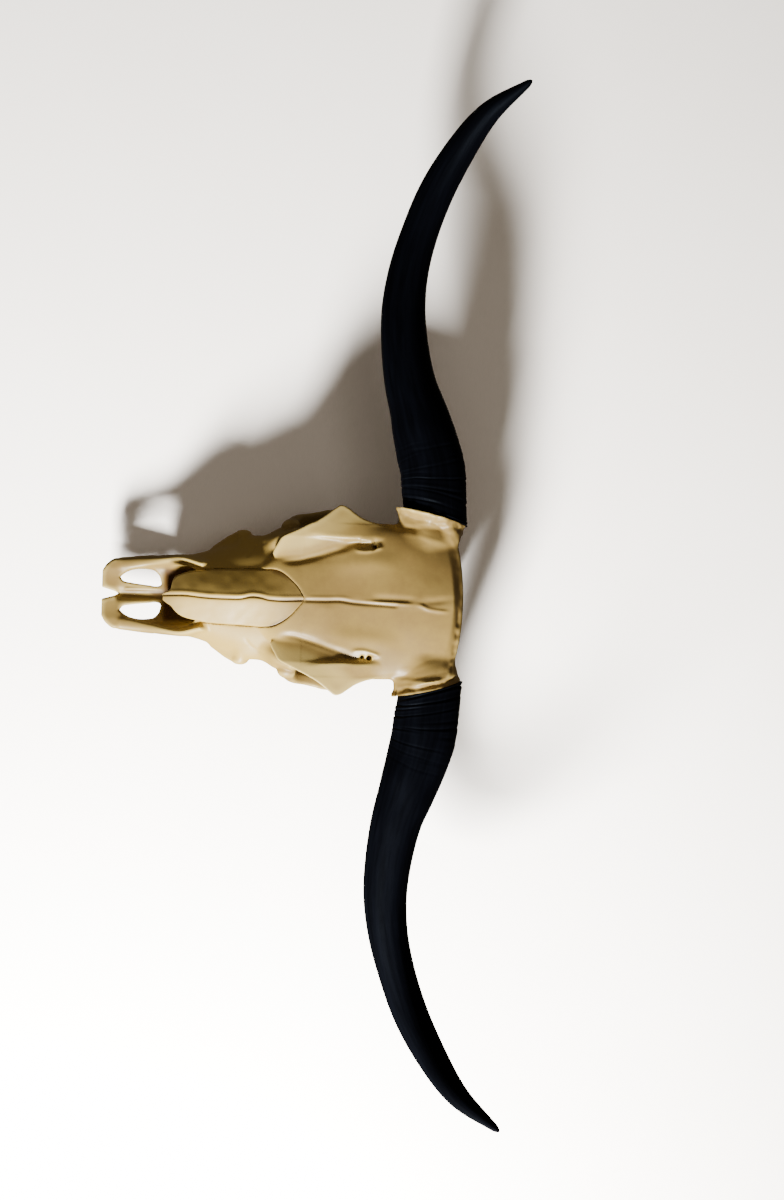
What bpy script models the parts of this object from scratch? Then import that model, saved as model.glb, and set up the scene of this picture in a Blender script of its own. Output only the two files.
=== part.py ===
"""A longhorn cow skull, life size, as a pale moulded replica with two long black horns.

The skull lies on its cheek teeth and on the two processes beside its condyles, nose toward -X,
forehead up. The forms of the bones are lofts and tubes that are fused, hollowed and then parted
along the sutures, so each bone that a person would name is one closed solid.
"""

import math

import bmesh
import bpy
import numpy as np
from mathutils import Matrix, Vector

# ---------------------------------------------------------------- driving sizes, in metres
SEAM = 0.0004  # gap that parts two neighbouring pieces
VOXEL = 0.0026  # grid on which the forms of the bones are fused
SOFTENING = 4  # passes that round the fused forms
BONE_TRIANGLES = 4900  # triangles kept in the fused skull, before it is parted
RING_SIDES = 28  # corners of one ring of a loft
HULL_RINGS = 26
LIMB_RINGS = 14
SHARP_ANGLE = math.radians(50)  # edges steeper than this stay crisp

NASAL_TIP_X, NASAL_END_X = 0.088, 0.271
NASAL_THICKNESS = 0.0065
NASAL_RINGS = 17
NASAL_ACROSS = 6  # points across the top of one plate
FISSURE_CENTRE, FISSURE_LENGTH, FISSURE_WIDTH = (0.0622, 0.0222), 0.044, 0.0235
TOOTH_ROW_X = (0.150, 0.290)
TOOTH_LENGTHS = (0.017, 0.019, 0.019, 0.024, 0.030, 0.031)  # P2 to M3
PALATE_Z = 0.029  # vault of the palate, above the worn faces of the teeth
ORBIT_CENTRE = (0.292, 0.112, 0.118)
ORBIT_RADIUS = 0.029
COLLAR_FACE = (0.4425, 0.1130, 0.156)  # middle of the face that the horn butts against
COLLAR_NORMAL = (0.23, 0.973, 0.0)
COLLAR_RADIUS = 0.0475
HORN_BASE_FLATNESS = 0.87  # height over breadth of the horn's root; it is round from mid length on
PREMAXILLA_SUTURE = ((0.086, 0.035), (0.142, 0.104))  # x and z of two points of each suture's plane
FACE_SUTURE = ((0.243, 0.145), (0.312, 0.020))
CHEEK_BOX = ((0.2335, 0.376), (0.0865, 0.170), (0.060, 0.1345))  # x, y and z ranges of the zygomatic
HORN_SIDES = 16
HORN_RINGS = 24

# Route of one horn from the collar out to its tip, then the radius there.
HORN_ROUTE = (
    (0.4490, 0.080, 0.156, 0.0455),
    (0.4410, 0.134, 0.156, 0.0449),
    (0.4360, 0.185, 0.157, 0.0442),
    (0.4210, 0.237, 0.156, 0.0402),
    (0.4050, 0.288, 0.154, 0.0350),
    (0.3960, 0.340, 0.151, 0.0320),
    (0.3930, 0.392, 0.149, 0.0297),
    (0.3980, 0.443, 0.152, 0.0270),
    (0.4100, 0.492, 0.161, 0.0249),
    (0.4260, 0.537, 0.179, 0.0235),
    (0.4470, 0.576, 0.210, 0.0203),
    (0.4720, 0.607, 0.254, 0.0146),
    (0.5130, 0.6260, 0.3140, 0.0034),
)

BONE_COLOUR = (0.560, 0.440, 0.250, 1.0)
HORN_COLOUR = (0.006, 0.007, 0.010, 1.0)


# ---------------------------------------------------------------- tools
def clear_scene():
    for item in list(bpy.data.objects):
        bpy.data.objects.remove(item, do_unlink=True)


def collection(name):
    made = bpy.data.collections.new(name)
    bpy.context.scene.collection.children.link(made)
    return made


def material(name, colour, roughness):
    made = bpy.data.materials.new(name)
    made.use_nodes = True
    shader = made.node_tree.nodes["Principled BSDF"]
    shader.inputs["Base Color"].default_value = colour
    shader.inputs["Roughness"].default_value = roughness
    shader.inputs["Metallic"].default_value = 0.0
    made.diffuse_color = colour
    return made


def smooth_rows(stations, count):
    """Rows at even steps along the smooth curve through the stations, by cubic Hermite pieces."""
    rows = np.array(stations, dtype=float)
    at = np.concatenate([[0.0], np.cumsum(np.linalg.norm(np.diff(rows[:, :3], axis=0), axis=1))])
    slope = np.gradient(rows, at, axis=0)
    where = np.linspace(0.0, at[-1], count)
    i = np.clip(np.searchsorted(at, where, side="right") - 1, 0, len(at) - 2)
    span = (at[i + 1] - at[i])[:, None]
    u = (where - at[i])[:, None] / span
    ends = (1 + 2 * u) * (1 - u) ** 2 * rows[i] + u * u * (3 - 2 * u) * rows[i + 1]
    return ends + span * (u * (1 - u) ** 2 * slope[i] + u * u * (u - 1) * slope[i + 1])


def loft(rings):
    """A closed bmesh over a stack of rings, each an (n, 3) array, with a flat cap at both ends."""
    made = bmesh.new()
    loops = [[made.verts.new(point) for point in ring] for ring in rings]
    sides = len(loops[0])
    for near, far in zip(loops, loops[1:]):
        for i in range(sides):
            j = (i + 1) % sides
            made.faces.new((near[i], near[j], far[j], far[i]))
    made.faces.new(loops[0])
    made.faces.new(loops[-1])
    bmesh.ops.recalc_face_normals(made, faces=made.faces)
    return made


def superellipse(squareness):
    """Corners of a unit ring: a circle at squareness 2, and nearer a square above that."""
    turn = np.arange(RING_SIDES) * math.tau / RING_SIDES
    across, up = np.cos(turn), np.sin(turn)
    power = 2.0 / squareness
    return np.sign(across) * np.abs(across) ** power, np.sign(up) * np.abs(up) ** power


def hull(stations, squareness):
    """A form along X. A station is x, half width, then the heights of its top, widest line and bottom."""
    across, up = superellipse(squareness)
    keyed = [(x, 0.0, 0.0, half, top, wide, low) for x, half, top, wide, low in stations]
    rings = []
    for x, _, _, half, top, wide, low in smooth_rows(keyed, HULL_RINGS):
        height = np.where(up > 0, top - wide, wide - low)
        rings.append(np.column_stack([np.full(RING_SIDES, x), half * across, wide + height * up]))
    return loft(rings)


def limb(stations, side=(0.0, 1.0, 0.0), squareness=2.0, rings=LIMB_RINGS, blunt=False):
    """A bent bar. A station is a point, then its half width toward side and its half thickness."""
    rows = smooth_rows(stations, rings)
    heading = np.gradient(rows[:, :3], axis=0)
    heading /= np.linalg.norm(heading, axis=1)[:, None]
    if not blunt:
        for end, out, sign in ((0, 0, -1), (-1, len(rows), 1)):
            cap = rows[end].copy()
            cap[:3] += sign * heading[end] * 0.7 * min(cap[3], cap[4])
            cap[3:5] *= 0.6
            rows = np.insert(rows, out, cap, axis=0)
            heading = np.insert(heading, out, heading[end], axis=0)
    across, up = superellipse(squareness)
    made = []
    for row, ahead in zip(rows, heading):
        wide = np.array(side) - np.dot(side, ahead) * ahead
        wide /= np.linalg.norm(wide)
        thick = np.cross(ahead, wide)
        made.append(row[:3] + np.outer(row[3] * across, wide) + np.outer(row[4] * up, thick))
    return loft(made)


def ball(centre, radii):
    made = bmesh.new()
    bmesh.ops.create_uvsphere(made, u_segments=20, v_segments=12, radius=1.0)
    bmesh.ops.scale(made, vec=radii, verts=made.verts)
    bmesh.ops.translate(made, vec=centre, verts=made.verts)
    return made


def block(low, high):
    made = bmesh.new()
    bmesh.ops.create_cube(made, size=1.0)
    low, high = Vector(low), Vector(high)
    bmesh.ops.scale(made, vec=high - low, verts=made.verts)
    bmesh.ops.translate(made, vec=(high + low) / 2, verts=made.verts)
    return made


def mirrored(form):
    """The same form on the other side of the midline."""
    other = form.copy()
    bmesh.ops.scale(other, vec=(1, -1, 1), verts=other.verts)
    bmesh.ops.reverse_faces(other, faces=other.faces)
    return other


def both(*forms):
    return [side for form in forms for side in (form, mirrored(form))]


def place(name, form, where, finish=None):
    """A bmesh as an object. Cutters have no finish and are left out of the render."""
    mesh = bpy.data.meshes.new(name)
    form.to_mesh(mesh)
    form.free()
    item = bpy.data.objects.new(name, mesh)
    where.objects.link(item)
    if finish is None:
        item.hide_render = True
        item.display_type = "WIRE"
    else:
        mesh.materials.append(finish)
    return item


def gathered(forms):
    """Several forms in one bmesh, side by side, as loose shells."""
    made = bmesh.new()
    for form in forms:
        mesh = bpy.data.meshes.new("form")
        form.to_mesh(mesh)
        form.free()
        made.from_mesh(mesh)
        bpy.data.meshes.remove(mesh)
    return made


def settle(item):
    """Turns an object's modifiers into its mesh."""
    bpy.context.view_layer.update()
    seen = item.evaluated_get(bpy.context.evaluated_depsgraph_get())
    mesh = bpy.data.meshes.new_from_object(seen)
    item.modifiers.clear()
    item.data = mesh


def fuse(item, voxel, passes):
    remesh = item.modifiers.new("fuse", "REMESH")
    remesh.mode = "VOXEL"
    remesh.voxel_size = voxel
    soften = item.modifiers.new("soften", "SMOOTH")
    soften.factor = 0.5
    soften.iterations = passes
    settle(item)


def boolean(item, operation, cutter):
    cut = item.modifiers.new(operation.lower(), "BOOLEAN")
    cut.operation = operation
    cut.solver = "EXACT"
    cut.object = cutter


# ---------------------------------------------------------------- forms of the skull
def frontals():
    """The broad forehead, from the root of the nasals to the poll."""
    return [hull((
        (0.212, 0.036, 0.129, 0.116, 0.095),
        (0.240, 0.064, 0.140, 0.121, 0.092),
        (0.270, 0.086, 0.1475, 0.129, 0.100),
        (0.310, 0.101, 0.1580, 0.140, 0.110),
        (0.345, 0.103, 0.1680, 0.149, 0.118),
        (0.385, 0.096, 0.1770, 0.155, 0.122),
        (0.425, 0.100, 0.1835, 0.157, 0.120),
        (0.457, 0.103, 0.1830, 0.154, 0.122),
        (0.4715, 0.100, 0.1755, 0.151, 0.128),
        (0.4765, 0.088, 0.1680, 0.150, 0.136),
    ), 2.9)]


def face():
    """Both maxillae as one mass, from behind the premaxillae to the front of the orbits."""
    return [hull((
        (0.070, 0.048, 0.066, 0.052, 0.040),
        (0.100, 0.0535, 0.088, 0.057, 0.036),
        (0.140, 0.0625, 0.114, 0.063, 0.028),
        (0.170, 0.074, 0.121, 0.070, 0.021),
        (0.197, 0.0825, 0.1275, 0.078, 0.019),
        (0.225, 0.084, 0.1345, 0.086, 0.019),
        (0.250, 0.084, 0.1400, 0.092, 0.020),
        (0.272, 0.076, 0.140, 0.094, 0.024),
        (0.292, 0.054, 0.134, 0.088, 0.034),
    ), 2.3)]


def cheek():
    """Facial tuber, the lacrimal and zygomatic in front of the orbit, and the maxillary tuberosity."""
    tuber = limb((
        (0.172, 0.066, 0.066, 0.011, 0.010),
        (0.196, 0.0770, 0.079, 0.0135, 0.009),
        (0.222, 0.0755, 0.088, 0.0120, 0.011),
        (0.246, 0.0900, 0.101, 0.0140, 0.015),
        (0.262, 0.1000, 0.110, 0.0110, 0.014),
    ))
    knob = ball((0.2520, 0.1015, 0.116), (0.0135, 0.0110, 0.0115))
    tuberosity = ball((0.284, 0.046, 0.052), (0.024, 0.019, 0.026))
    socket_edge = limb((
        (0.138, 0.0420, 0.0370, 0.0100, 0.0110),
        (0.165, 0.0455, 0.0350, 0.0125, 0.0125),
        (0.215, 0.0530, 0.0355, 0.0140, 0.0125),
        (0.262, 0.0555, 0.0360, 0.0140, 0.0125),
        (0.292, 0.0520, 0.0380, 0.0120, 0.0120),
    ))
    lacrimal = limb((
        (0.2360, 0.0740, 0.1120, 0.0150, 0.0180),
        (0.2500, 0.0860, 0.1200, 0.0150, 0.0160),
        (0.2640, 0.0930, 0.1260, 0.0110, 0.0130),
    ))
    return both(tuber, knob, tuberosity, socket_edge, lacrimal)


def orbit_rim():
    """The bony ring round the eye: upper rim, postorbital bar and the zygomatic below."""
    rim = limb((
        (0.2560, 0.1035, 0.122, 0.0100, 0.0075),
        (0.2660, 0.0950, 0.139, 0.0120, 0.0070),
        (0.2900, 0.1000, 0.148, 0.0130, 0.0060),
        (0.3160, 0.1160, 0.1505, 0.0090, 0.0055),
        (0.3270, 0.1165, 0.135, 0.0065, 0.0070),
        (0.3270, 0.1150, 0.112, 0.0065, 0.0080),
        (0.3140, 0.1150, 0.0920, 0.0070, 0.0080),
        (0.2900, 0.1110, 0.0850, 0.0080, 0.0090),
        (0.2680, 0.1050, 0.0930, 0.0100, 0.0100),
        (0.2560, 0.1030, 0.1120, 0.0100, 0.0090),
    ), rings=30)
    wing = limb((
        (0.3280, 0.070, 0.1510, 0.044, 0.012),
        (0.3230, 0.098, 0.1520, 0.030, 0.009),
        (0.3185, 0.119, 0.1515, 0.010, 0.006),
    ), side=(1, 0, 0))
    brow = limb((
        (0.246, 0.060, 0.1290, 0.017, 0.010),
        (0.272, 0.078, 0.1400, 0.018, 0.0095),
        (0.300, 0.088, 0.1500, 0.016, 0.0085),
    ))
    return both(rim, wing, brow)


def arch():
    """Zygomatic arch, from under the orbit back to the joint of the jaw."""
    bar = limb((
        (0.305, 0.1130, 0.0890, 0.0065, 0.0095),
        (0.335, 0.1050, 0.0850, 0.0055, 0.0085),
        (0.368, 0.0955, 0.0840, 0.0055, 0.0080),
        (0.398, 0.0850, 0.0860, 0.0085, 0.0080),
        (0.420, 0.0700, 0.0890, 0.0120, 0.0090),
    ))
    joint = ball((0.398, 0.074, 0.0835), (0.014, 0.022, 0.0075))
    return both(bar, joint)


def braincase():
    """Braincase under the forehead, the wall of the orbits in front of it, and the occiput behind."""
    case = hull((
        (0.262, 0.036, 0.135, 0.098, 0.052),
        (0.300, 0.038, 0.145, 0.100, 0.058),
        (0.345, 0.044, 0.160, 0.105, 0.056),
        (0.385, 0.056, 0.168, 0.108, 0.052),
        (0.425, 0.063, 0.170, 0.108, 0.048),
        (0.455, 0.060, 0.168, 0.105, 0.048),
        (0.468, 0.050, 0.155, 0.100, 0.054),
    ), 2.3)
    nape = limb((
        (0.4400, 0, 0.044, 0.040, 0.010),
        (0.4430, 0, 0.066, 0.066, 0.013),
        (0.4470, 0, 0.094, 0.083, 0.015),
        (0.4550, 0, 0.124, 0.084, 0.016),
        (0.4590, 0, 0.155, 0.090, 0.016),
    ), squareness=2.5)
    keel = limb((
        (0.300, 0, 0.064, 0.012, 0.008),
        (0.360, 0, 0.056, 0.015, 0.009),
        (0.410, 0, 0.048, 0.022, 0.010),
        (0.452, 0, 0.044, 0.026, 0.011),
    ))
    return [case, nape, keel]


def base_of_skull():
    """Condyles, the processes beside them that touch the ground, ear bullae, ear canals and pterygoids."""
    condyle = ball((0.4590, 0.0240, 0.0500), (0.0165, 0.0150, 0.0200))
    process = limb((
        (0.4400, 0.0580, 0.0720, 0.0180, 0.0110),
        (0.4390, 0.0530, 0.0440, 0.0150, 0.0085),
        (0.4350, 0.0480, 0.0200, 0.0110, 0.0070),
        (0.4300, 0.0450, -0.0040, 0.0080, 0.0062),
    ), side=(1, 0, 0))
    bulla = ball((0.4080, 0.0400, 0.0440), (0.0180, 0.0125, 0.0210))
    ear = limb((
        (0.4180, 0.0560, 0.0780, 0.0100, 0.0100),
        (0.4240, 0.0800, 0.0860, 0.0090, 0.0090),
    ))
    pterygoid = limb((
        (0.2900, 0.0240, 0.0520, 0.0240, 0.0042),
        (0.3160, 0.0220, 0.0500, 0.0250, 0.0034),
        (0.3420, 0.0200, 0.0560, 0.0190, 0.0034),
        (0.3620, 0.0190, 0.0600, 0.0100, 0.0036),
    ), side=(0, 0, 1))
    hook = limb((
        (0.3160, 0.0225, 0.0420, 0.0080, 0.0032),
        (0.3220, 0.0240, 0.0260, 0.0040, 0.0028),
    ), side=(1, 0, 0))
    return both(condyle, process, bulla, ear, pterygoid, hook)


def horn_core():
    """Bony collar that carries the horn; it runs through the plane of its face, where it is cut."""
    core = limb((
        (0.4480, 0.0600, 0.1500, 0.0340, 0.0290),
        (0.4450, 0.0850, 0.1520, 0.0390, 0.0330),
        (0.4430, 0.1060, 0.1550, 0.0455, 0.0385),
        (0.4420, 0.1240, 0.1560, COLLAR_RADIUS, COLLAR_RADIUS * HORN_BASE_FLATNESS),
        (0.4410, 0.1500, 0.1560, COLLAR_RADIUS, COLLAR_RADIUS * HORN_BASE_FLATNESS),
    ), side=(1, 0, 0), blunt=True)
    return both(core)


def premaxillae():
    """Two flat arms round the palatine fissures, and the bar beside the midline."""
    arm = limb((
        (0.0080, 0.0240, 0.0475, 0.0165, 0.0058),
        (0.0220, 0.0290, 0.0480, 0.0200, 0.0068),
        (0.0420, 0.0380, 0.0495, 0.0115, 0.0075),
        (0.0700, 0.0445, 0.0545, 0.0095, 0.0095),
        (0.0950, 0.0480, 0.0640, 0.0080, 0.0150),
        (0.1200, 0.0490, 0.0820, 0.0062, 0.0140),
        (0.1400, 0.0390, 0.1010, 0.0045, 0.0070),
    ), rings=22)
    bar = limb((
        (0.0120, 0.0100, 0.0470, 0.0060, 0.0055),
        (0.0400, 0.0062, 0.0460, 0.0052, 0.0060),
        (0.0800, 0.0058, 0.0460, 0.0050, 0.0070),
        (0.1200, 0.0060, 0.0440, 0.0055, 0.0070),
    ))
    floor = limb((
        (0.0990, 0.0040, 0.0420, 0.0140, 0.0050),
        (0.0990, 0.0480, 0.0430, 0.0140, 0.0050),
    ), side=(1, 0, 0))
    return both(arm, bar, floor)


def tooth_rows():
    """The six cheek teeth of each side, worn flat on one plane, set in the edge of the maxilla."""
    forms = []
    start = TOOTH_ROW_X[0]
    scale = (TOOTH_ROW_X[1] - start) / sum(TOOTH_LENGTHS)
    for length in TOOTH_LENGTHS:
        middle = start + scale * length / 2
        along = (middle - TOOTH_ROW_X[0]) / (TOOTH_ROW_X[1] - TOOTH_ROW_X[0])
        y = 0.040 + 0.0165 * math.sin(along * 2.2)
        half_width = 0.0075 + 0.0045 * min(1.0, along * 1.6)
        half_length = scale * length / 2 + 0.0006
        forms.append(limb((
            (middle, y, -0.006, half_length * 0.97, half_width * 0.86),
            (middle, y, 0.012, half_length, half_width * 0.96),
            (middle, y + 0.002, 0.040, half_length, half_width * 1.1),
        ), side=(1, 0, 0), squareness=3.6, blunt=True, rings=5))
        start += scale * length
    return both(*forms)


# ---------------------------------------------------------------- hollows of the skull
def nasal_cavity():
    """The open front of the nose, running back into the dark between the maxillae."""
    return [hull((
        (-0.020, 0.034, 0.100, 0.058, 0.0520),
        (0.0400, 0.0345, 0.110, 0.062, 0.0500),
        (0.0800, 0.0400, 0.118, 0.068, 0.0480),
        (0.1100, 0.0410, 0.112, 0.074, 0.0470),
        (0.1400, 0.0370, 0.106, 0.078, 0.0480),
        (0.1800, 0.0340, 0.108, 0.082, 0.0500),
        (0.2150, 0.0220, 0.104, 0.084, 0.0600),
    ), 2.6)]


def fissures():
    """Palatine fissures, which go right through, and the notch between the premaxillae."""
    middle_x, middle_y = FISSURE_CENTRE
    slot = limb((
        (middle_x, middle_y, 0.020, FISSURE_LENGTH / 2, FISSURE_WIDTH / 2),
        (middle_x, middle_y, 0.075, FISSURE_LENGTH / 2, FISSURE_WIDTH / 2),
    ), side=(1, 0, 0), squareness=2.4, blunt=True, rings=4)
    notch = limb((
        (-0.010, 0, 0.048, 0.0105, 0.030),
        (0.010, 0, 0.048, 0.0068, 0.030),
        (0.025, 0, 0.048, 0.0012, 0.030),
    ), blunt=True)
    return both(slot) + [notch]


def sockets():
    """Eye sockets, deep cones that look outward and a little forward."""
    x, y, z = ORBIT_CENTRE
    cone = limb((
        (x - 0.004, y + 0.030, z + 0.003, ORBIT_RADIUS * 1.02, ORBIT_RADIUS * 0.98),
        (x, y, z, ORBIT_RADIUS, ORBIT_RADIUS * 0.96),
        (x + 0.006, y - 0.030, z - 0.003, ORBIT_RADIUS * 0.92, ORBIT_RADIUS * 0.84),
        (x + 0.014, y - 0.058, z - 0.006, ORBIT_RADIUS * 0.52, ORBIT_RADIUS * 0.50),
    ), side=(1, 0, 0))
    return both(cone)


def temples():
    """Temporal fossae, scooped out under the side edges of the forehead, above the zygomatic arches."""
    hollow = limb((
        (0.343, 0.084, 0.119, 0.022, 0.012),
        (0.385, 0.081, 0.122, 0.023, 0.014),
        (0.420, 0.084, 0.127, 0.018, 0.012),
    ), side=(0, 0, 1))
    return both(hollow)


def brow_grooves():
    """Grooves that run forward from the supraorbital holes, beside the brow wings."""
    groove = limb((
        (0.2560, 0.0530, 0.1500, 0.0030, 0.0040),
        (0.2850, 0.0610, 0.1560, 0.0040, 0.0050),
        (0.3200, 0.0680, 0.1620, 0.0045, 0.0055),
        (0.3580, 0.0705, 0.1640, 0.0050, 0.0070),
    ))
    return both(groove)


def underside():
    """Vault of the palate, the opening behind it, and the hole for the spinal cord."""
    vault = hull((
        (0.090, 0.026, 0.0370, 0.010, 0.000),
        (0.130, 0.028, 0.0345, 0.010, -0.010),
        (0.170, 0.033, PALATE_Z, 0.010, -0.010),
        (0.230, 0.038, PALATE_Z, 0.010, -0.010),
        (0.300, 0.040, PALATE_Z + 0.003, 0.010, -0.010),
        (0.330, 0.034, PALATE_Z + 0.003, 0.010, -0.010),
    ), 3.0)
    choana = hull((
        (0.250, 0.012, 0.062, 0.052, 0.042),
        (0.290, 0.0165, 0.064, 0.050, 0.036),
        (0.320, 0.0165, 0.060, 0.040, 0.010),
        (0.370, 0.0160, 0.048, 0.030, 0.000),
    ), 3.0)
    spinal = limb((
        (0.410, 0, 0.078, 0.013, 0.012),
        (0.450, 0, 0.074, 0.018, 0.0155),
        (0.500, 0, 0.068, 0.021, 0.018),
    ), blunt=True)
    ear_hole = both(limb((
        (0.418, 0.060, 0.079, 0.0040, 0.0040),
        (0.427, 0.100, 0.090, 0.0050, 0.0050),
    ), side=(1, 0, 0), blunt=True))
    return [vault, choana, spinal] + ear_hole


# ---------------------------------------------------------------- nasal bones
def nasal_plate(side, grow=0.0):
    """One nasal bone, an arched plate beside the midline; grow makes the seat that it lies in.

    A station is x, the plate's width, the height of its ridge, and how far its outer edge drops.
    """
    stations = (
        (NASAL_TIP_X, 0.0100, 0.1045, 0.0040),
        (0.0960, 0.0200, 0.1070, 0.0055),
        (0.1060, 0.0285, 0.1100, 0.0070),
        (0.1200, 0.0345, 0.1135, 0.0085),
        (0.1500, 0.0355, 0.1210, 0.0090),
        (0.2000, 0.0370, 0.1335, 0.0080),
        (0.2350, 0.0365, 0.1415, 0.0070),
        (0.2520, 0.0300, 0.1450, 0.0040),
        (NASAL_END_X, 0.0060, 0.1480, 0.0010),
    )
    keyed = [(x, 0.0, 0.0, width, ridge, drop) for x, width, ridge, drop in stations]
    middle_x = (NASAL_TIP_X + NASAL_END_X) / 2
    inner = SEAM / 2 - grow
    thick = NASAL_THICKNESS + 2 * grow
    rings = []
    for x, _, _, width, ridge, drop in smooth_rows(keyed, NASAL_RINGS):
        y = inner + (width + 2 * grow - inner) * np.linspace(0.0, 1.0, NASAL_ACROSS)
        top = ridge - drop * (np.maximum(y, 0.0) / width) ** 2 + grow
        shifted = np.full(NASAL_ACROSS, x + math.copysign(grow, x - middle_x))
        upper = np.column_stack([shifted, side * y, top])
        lower = np.column_stack([shifted, side * y[::-1], top[::-1] - thick])
        rings.append(np.vstack([upper, lower]))
    return loft(rings)


# ---------------------------------------------------------------- horns
def horn(side):
    """One horn: oval sections along its route, which turn round by the middle of its length."""
    rows = smooth_rows(HORN_ROUTE, HORN_RINGS)
    heading = np.gradient(rows[:, :3], axis=0)
    heading /= np.linalg.norm(heading, axis=1)[:, None]
    turn = np.arange(HORN_SIDES) * math.tau / HORN_SIDES
    rings = []
    for i, (row, ahead) in enumerate(zip(rows, heading)):
        flatness = HORN_BASE_FLATNESS + (1 - HORN_BASE_FLATNESS) * min(1.0, 2.0 * i / HORN_RINGS)
        wide = np.cross(ahead, (0.0, 0.0, 1.0))
        wide /= np.linalg.norm(wide)
        thick = np.cross(wide, ahead)
        ring = row[:3] + row[3] * (np.outer(np.cos(turn), wide) + flatness * np.outer(np.sin(turn), thick))
        rings.append(ring * (1, side, 1))
    return loft(rings)


def beyond(point, normal, gap=0.0):
    """A large block on the side of a plane that its normal points to, starting gap past the plane."""
    size = 2.0
    form = block((0.0, -size / 2, -size / 2), (size, size / 2, size / 2))
    normal = Vector(normal).normalized()
    turn = Vector((1, 0, 0)).rotation_difference(normal).to_matrix().to_4x4()
    form.transform(Matrix.Translation(Vector(point) + normal * gap) @ turn)
    return form


def across(front, back):
    """Point and normal of a plane square to the midline plane, through two (x, z) points; it faces +X."""
    run, rise = back[0] - front[0], back[1] - front[1]
    return (front[0], 0.0, front[1]), (abs(rise), 0.0, math.copysign(run, -rise))


# ---------------------------------------------------------------- build
def fused_skull(parts, cutters, finish):
    """All the bony forms as one mesh, hollowed, softened and thinned."""
    forms = (frontals() + face() + cheek() + orbit_rim() + arch() + braincase() + base_of_skull()
             + horn_core() + premaxillae() + tooth_rows())
    whole = place("whole_skull", gathered(forms), cutters)
    fuse(whole, VOXEL, 1)
    hollows = place("hollows", gathered(
        nasal_cavity() + fissures() + sockets() + temples() + brow_grooves() + underside()), cutters)
    fuse(hollows, VOXEL, 1)
    boolean(whole, "DIFFERENCE", hollows)
    settle(whole)
    fuse(whole, VOXEL, SOFTENING)
    thin = whole.modifiers.new("thin", "DECIMATE")
    thin.ratio = BONE_TRIANGLES / (2.0 * len(whole.data.polygons))
    settle(whole)
    whole.data.materials.clear()
    whole.data.materials.append(finish)
    return whole


def largest_body(item):
    """Keeps the largest closed shell of a mesh and drops the crumbs that a cut may leave."""
    form = bmesh.new()
    form.from_mesh(item.data)
    left = set(form.verts)
    shells = []
    while left:
        seed = left.pop()
        shell, front = {seed}, [seed]
        while front:
            near = {edge.other_vert(vert) for vert in front for edge in vert.link_edges}
            front = list(near & left)
            left.difference_update(front)
            shell.update(front)
        shells.append(shell)
    keep = max(shells, key=len)
    bmesh.ops.delete(form, geom=[vert for vert in form.verts if vert not in keep], context="VERTS")
    form.to_mesh(item.data)
    form.free()


def build():
    clear_scene()
    parts = collection("cow_skull")
    cutters = collection("cutters")
    bone = material("bone", BONE_COLOUR, 0.42)
    black = material("horn", HORN_COLOUR, 0.48)
    whole = fused_skull(parts, cutters, bone)

    def cutter(name, form):
        return place(name, form, cutters)

    def bone_part(name, kept, removed=()):
        """A copy of the fused skull, kept inside some blocks and cut away by others."""
        item = bpy.data.objects.new(name, whole.data.copy())
        parts.objects.link(item)
        for region in (above_floor, *kept):
            boolean(item, "INTERSECT", region)
        for region in removed:
            boolean(item, "DIFFERENCE", region)
        settle(item)
        largest_body(item)
        item.data.shade_smooth()
        item.data.set_sharp_from_angle(angle=SHARP_ANGLE)
        return item

    half = SEAM / 2
    above_floor = cutter("above_floor", beyond((0, 0, 0), (0, 0, 1)))
    nose_point, nose_normal = across(*PREMAXILLA_SUTURE)
    face_point, face_normal = across(*FACE_SUTURE)
    before_nose = cutter("before_nose", beyond(nose_point, tuple(-n for n in nose_normal), half))
    behind_nose = cutter("behind_nose", beyond(nose_point, nose_normal, half))
    before_face = cutter("before_face", beyond(face_point, tuple(-n for n in face_normal), half))
    behind_face = cutter("behind_face", beyond(face_point, face_normal, half))
    sides = {"right": 1, "left": -1}
    cheeks, seats, collars = [], [], []
    for name, side in sides.items():
        flank = cutter(f"{name}_half", beyond((0, 0, 0), (0, side, 0), half))
        (x0, x1), (y0, y1), (z0, z1) = CHEEK_BOX
        low, high = sorted((side * y0, side * y1))
        inner = cutter(f"{name}_cheek_inside", block((x0, low, z0), (x1, high, z1)))
        outer = cutter(f"{name}_cheek_outside", block(
            (x0 - SEAM, low - SEAM, z0 - SEAM), (x1 + SEAM, high + SEAM, z1 + SEAM)))
        seat = cutter(f"{name}_nasal_seat", nasal_plate(side, SEAM))
        collar_point = (COLLAR_FACE[0], side * COLLAR_FACE[1], COLLAR_FACE[2])
        collar_normal = (COLLAR_NORMAL[0], side * COLLAR_NORMAL[1], COLLAR_NORMAL[2])
        past_collar = cutter(f"{name}_past_collar", beyond(collar_point, collar_normal))
        horn_side = cutter(f"{name}_horn_side", beyond(collar_point, collar_normal, SEAM))
        cheeks.append(outer)
        seats.append(seat)
        collars.append(past_collar)

        bone_part(f"premaxilla_{name}", [flank, before_nose], [seat])
        bone_part(f"maxilla_{name}", [flank, behind_nose, before_face], [outer, seat])
        bone_part(f"zygomatic_{name}", [inner])
        place(f"nasal_{name}", nasal_plate(side), parts, bone)
        item = place(f"horn_{name}", horn(side), parts, black)
        boolean(item, "INTERSECT", horn_side)
        settle(item)
        item.data.shade_smooth()
        item.data.set_sharp_from_angle(angle=SHARP_ANGLE)
    bone_part("cranium", [behind_face], cheeks + seats + collars)

    reach = [item.matrix_world @ Vector(corner) for item in parts.objects for corner in item.bound_box]
    origin = bpy.data.objects.new("skull_origin", None)
    parts.objects.link(origin)
    for item in list(parts.objects):
        if item is not origin:
            item.parent = origin
    origin.location.x = -(min(p.x for p in reach) + max(p.x for p in reach)) / 2
    origin.location.y = -(min(p.y for p in reach) + max(p.y for p in reach)) / 2


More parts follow.
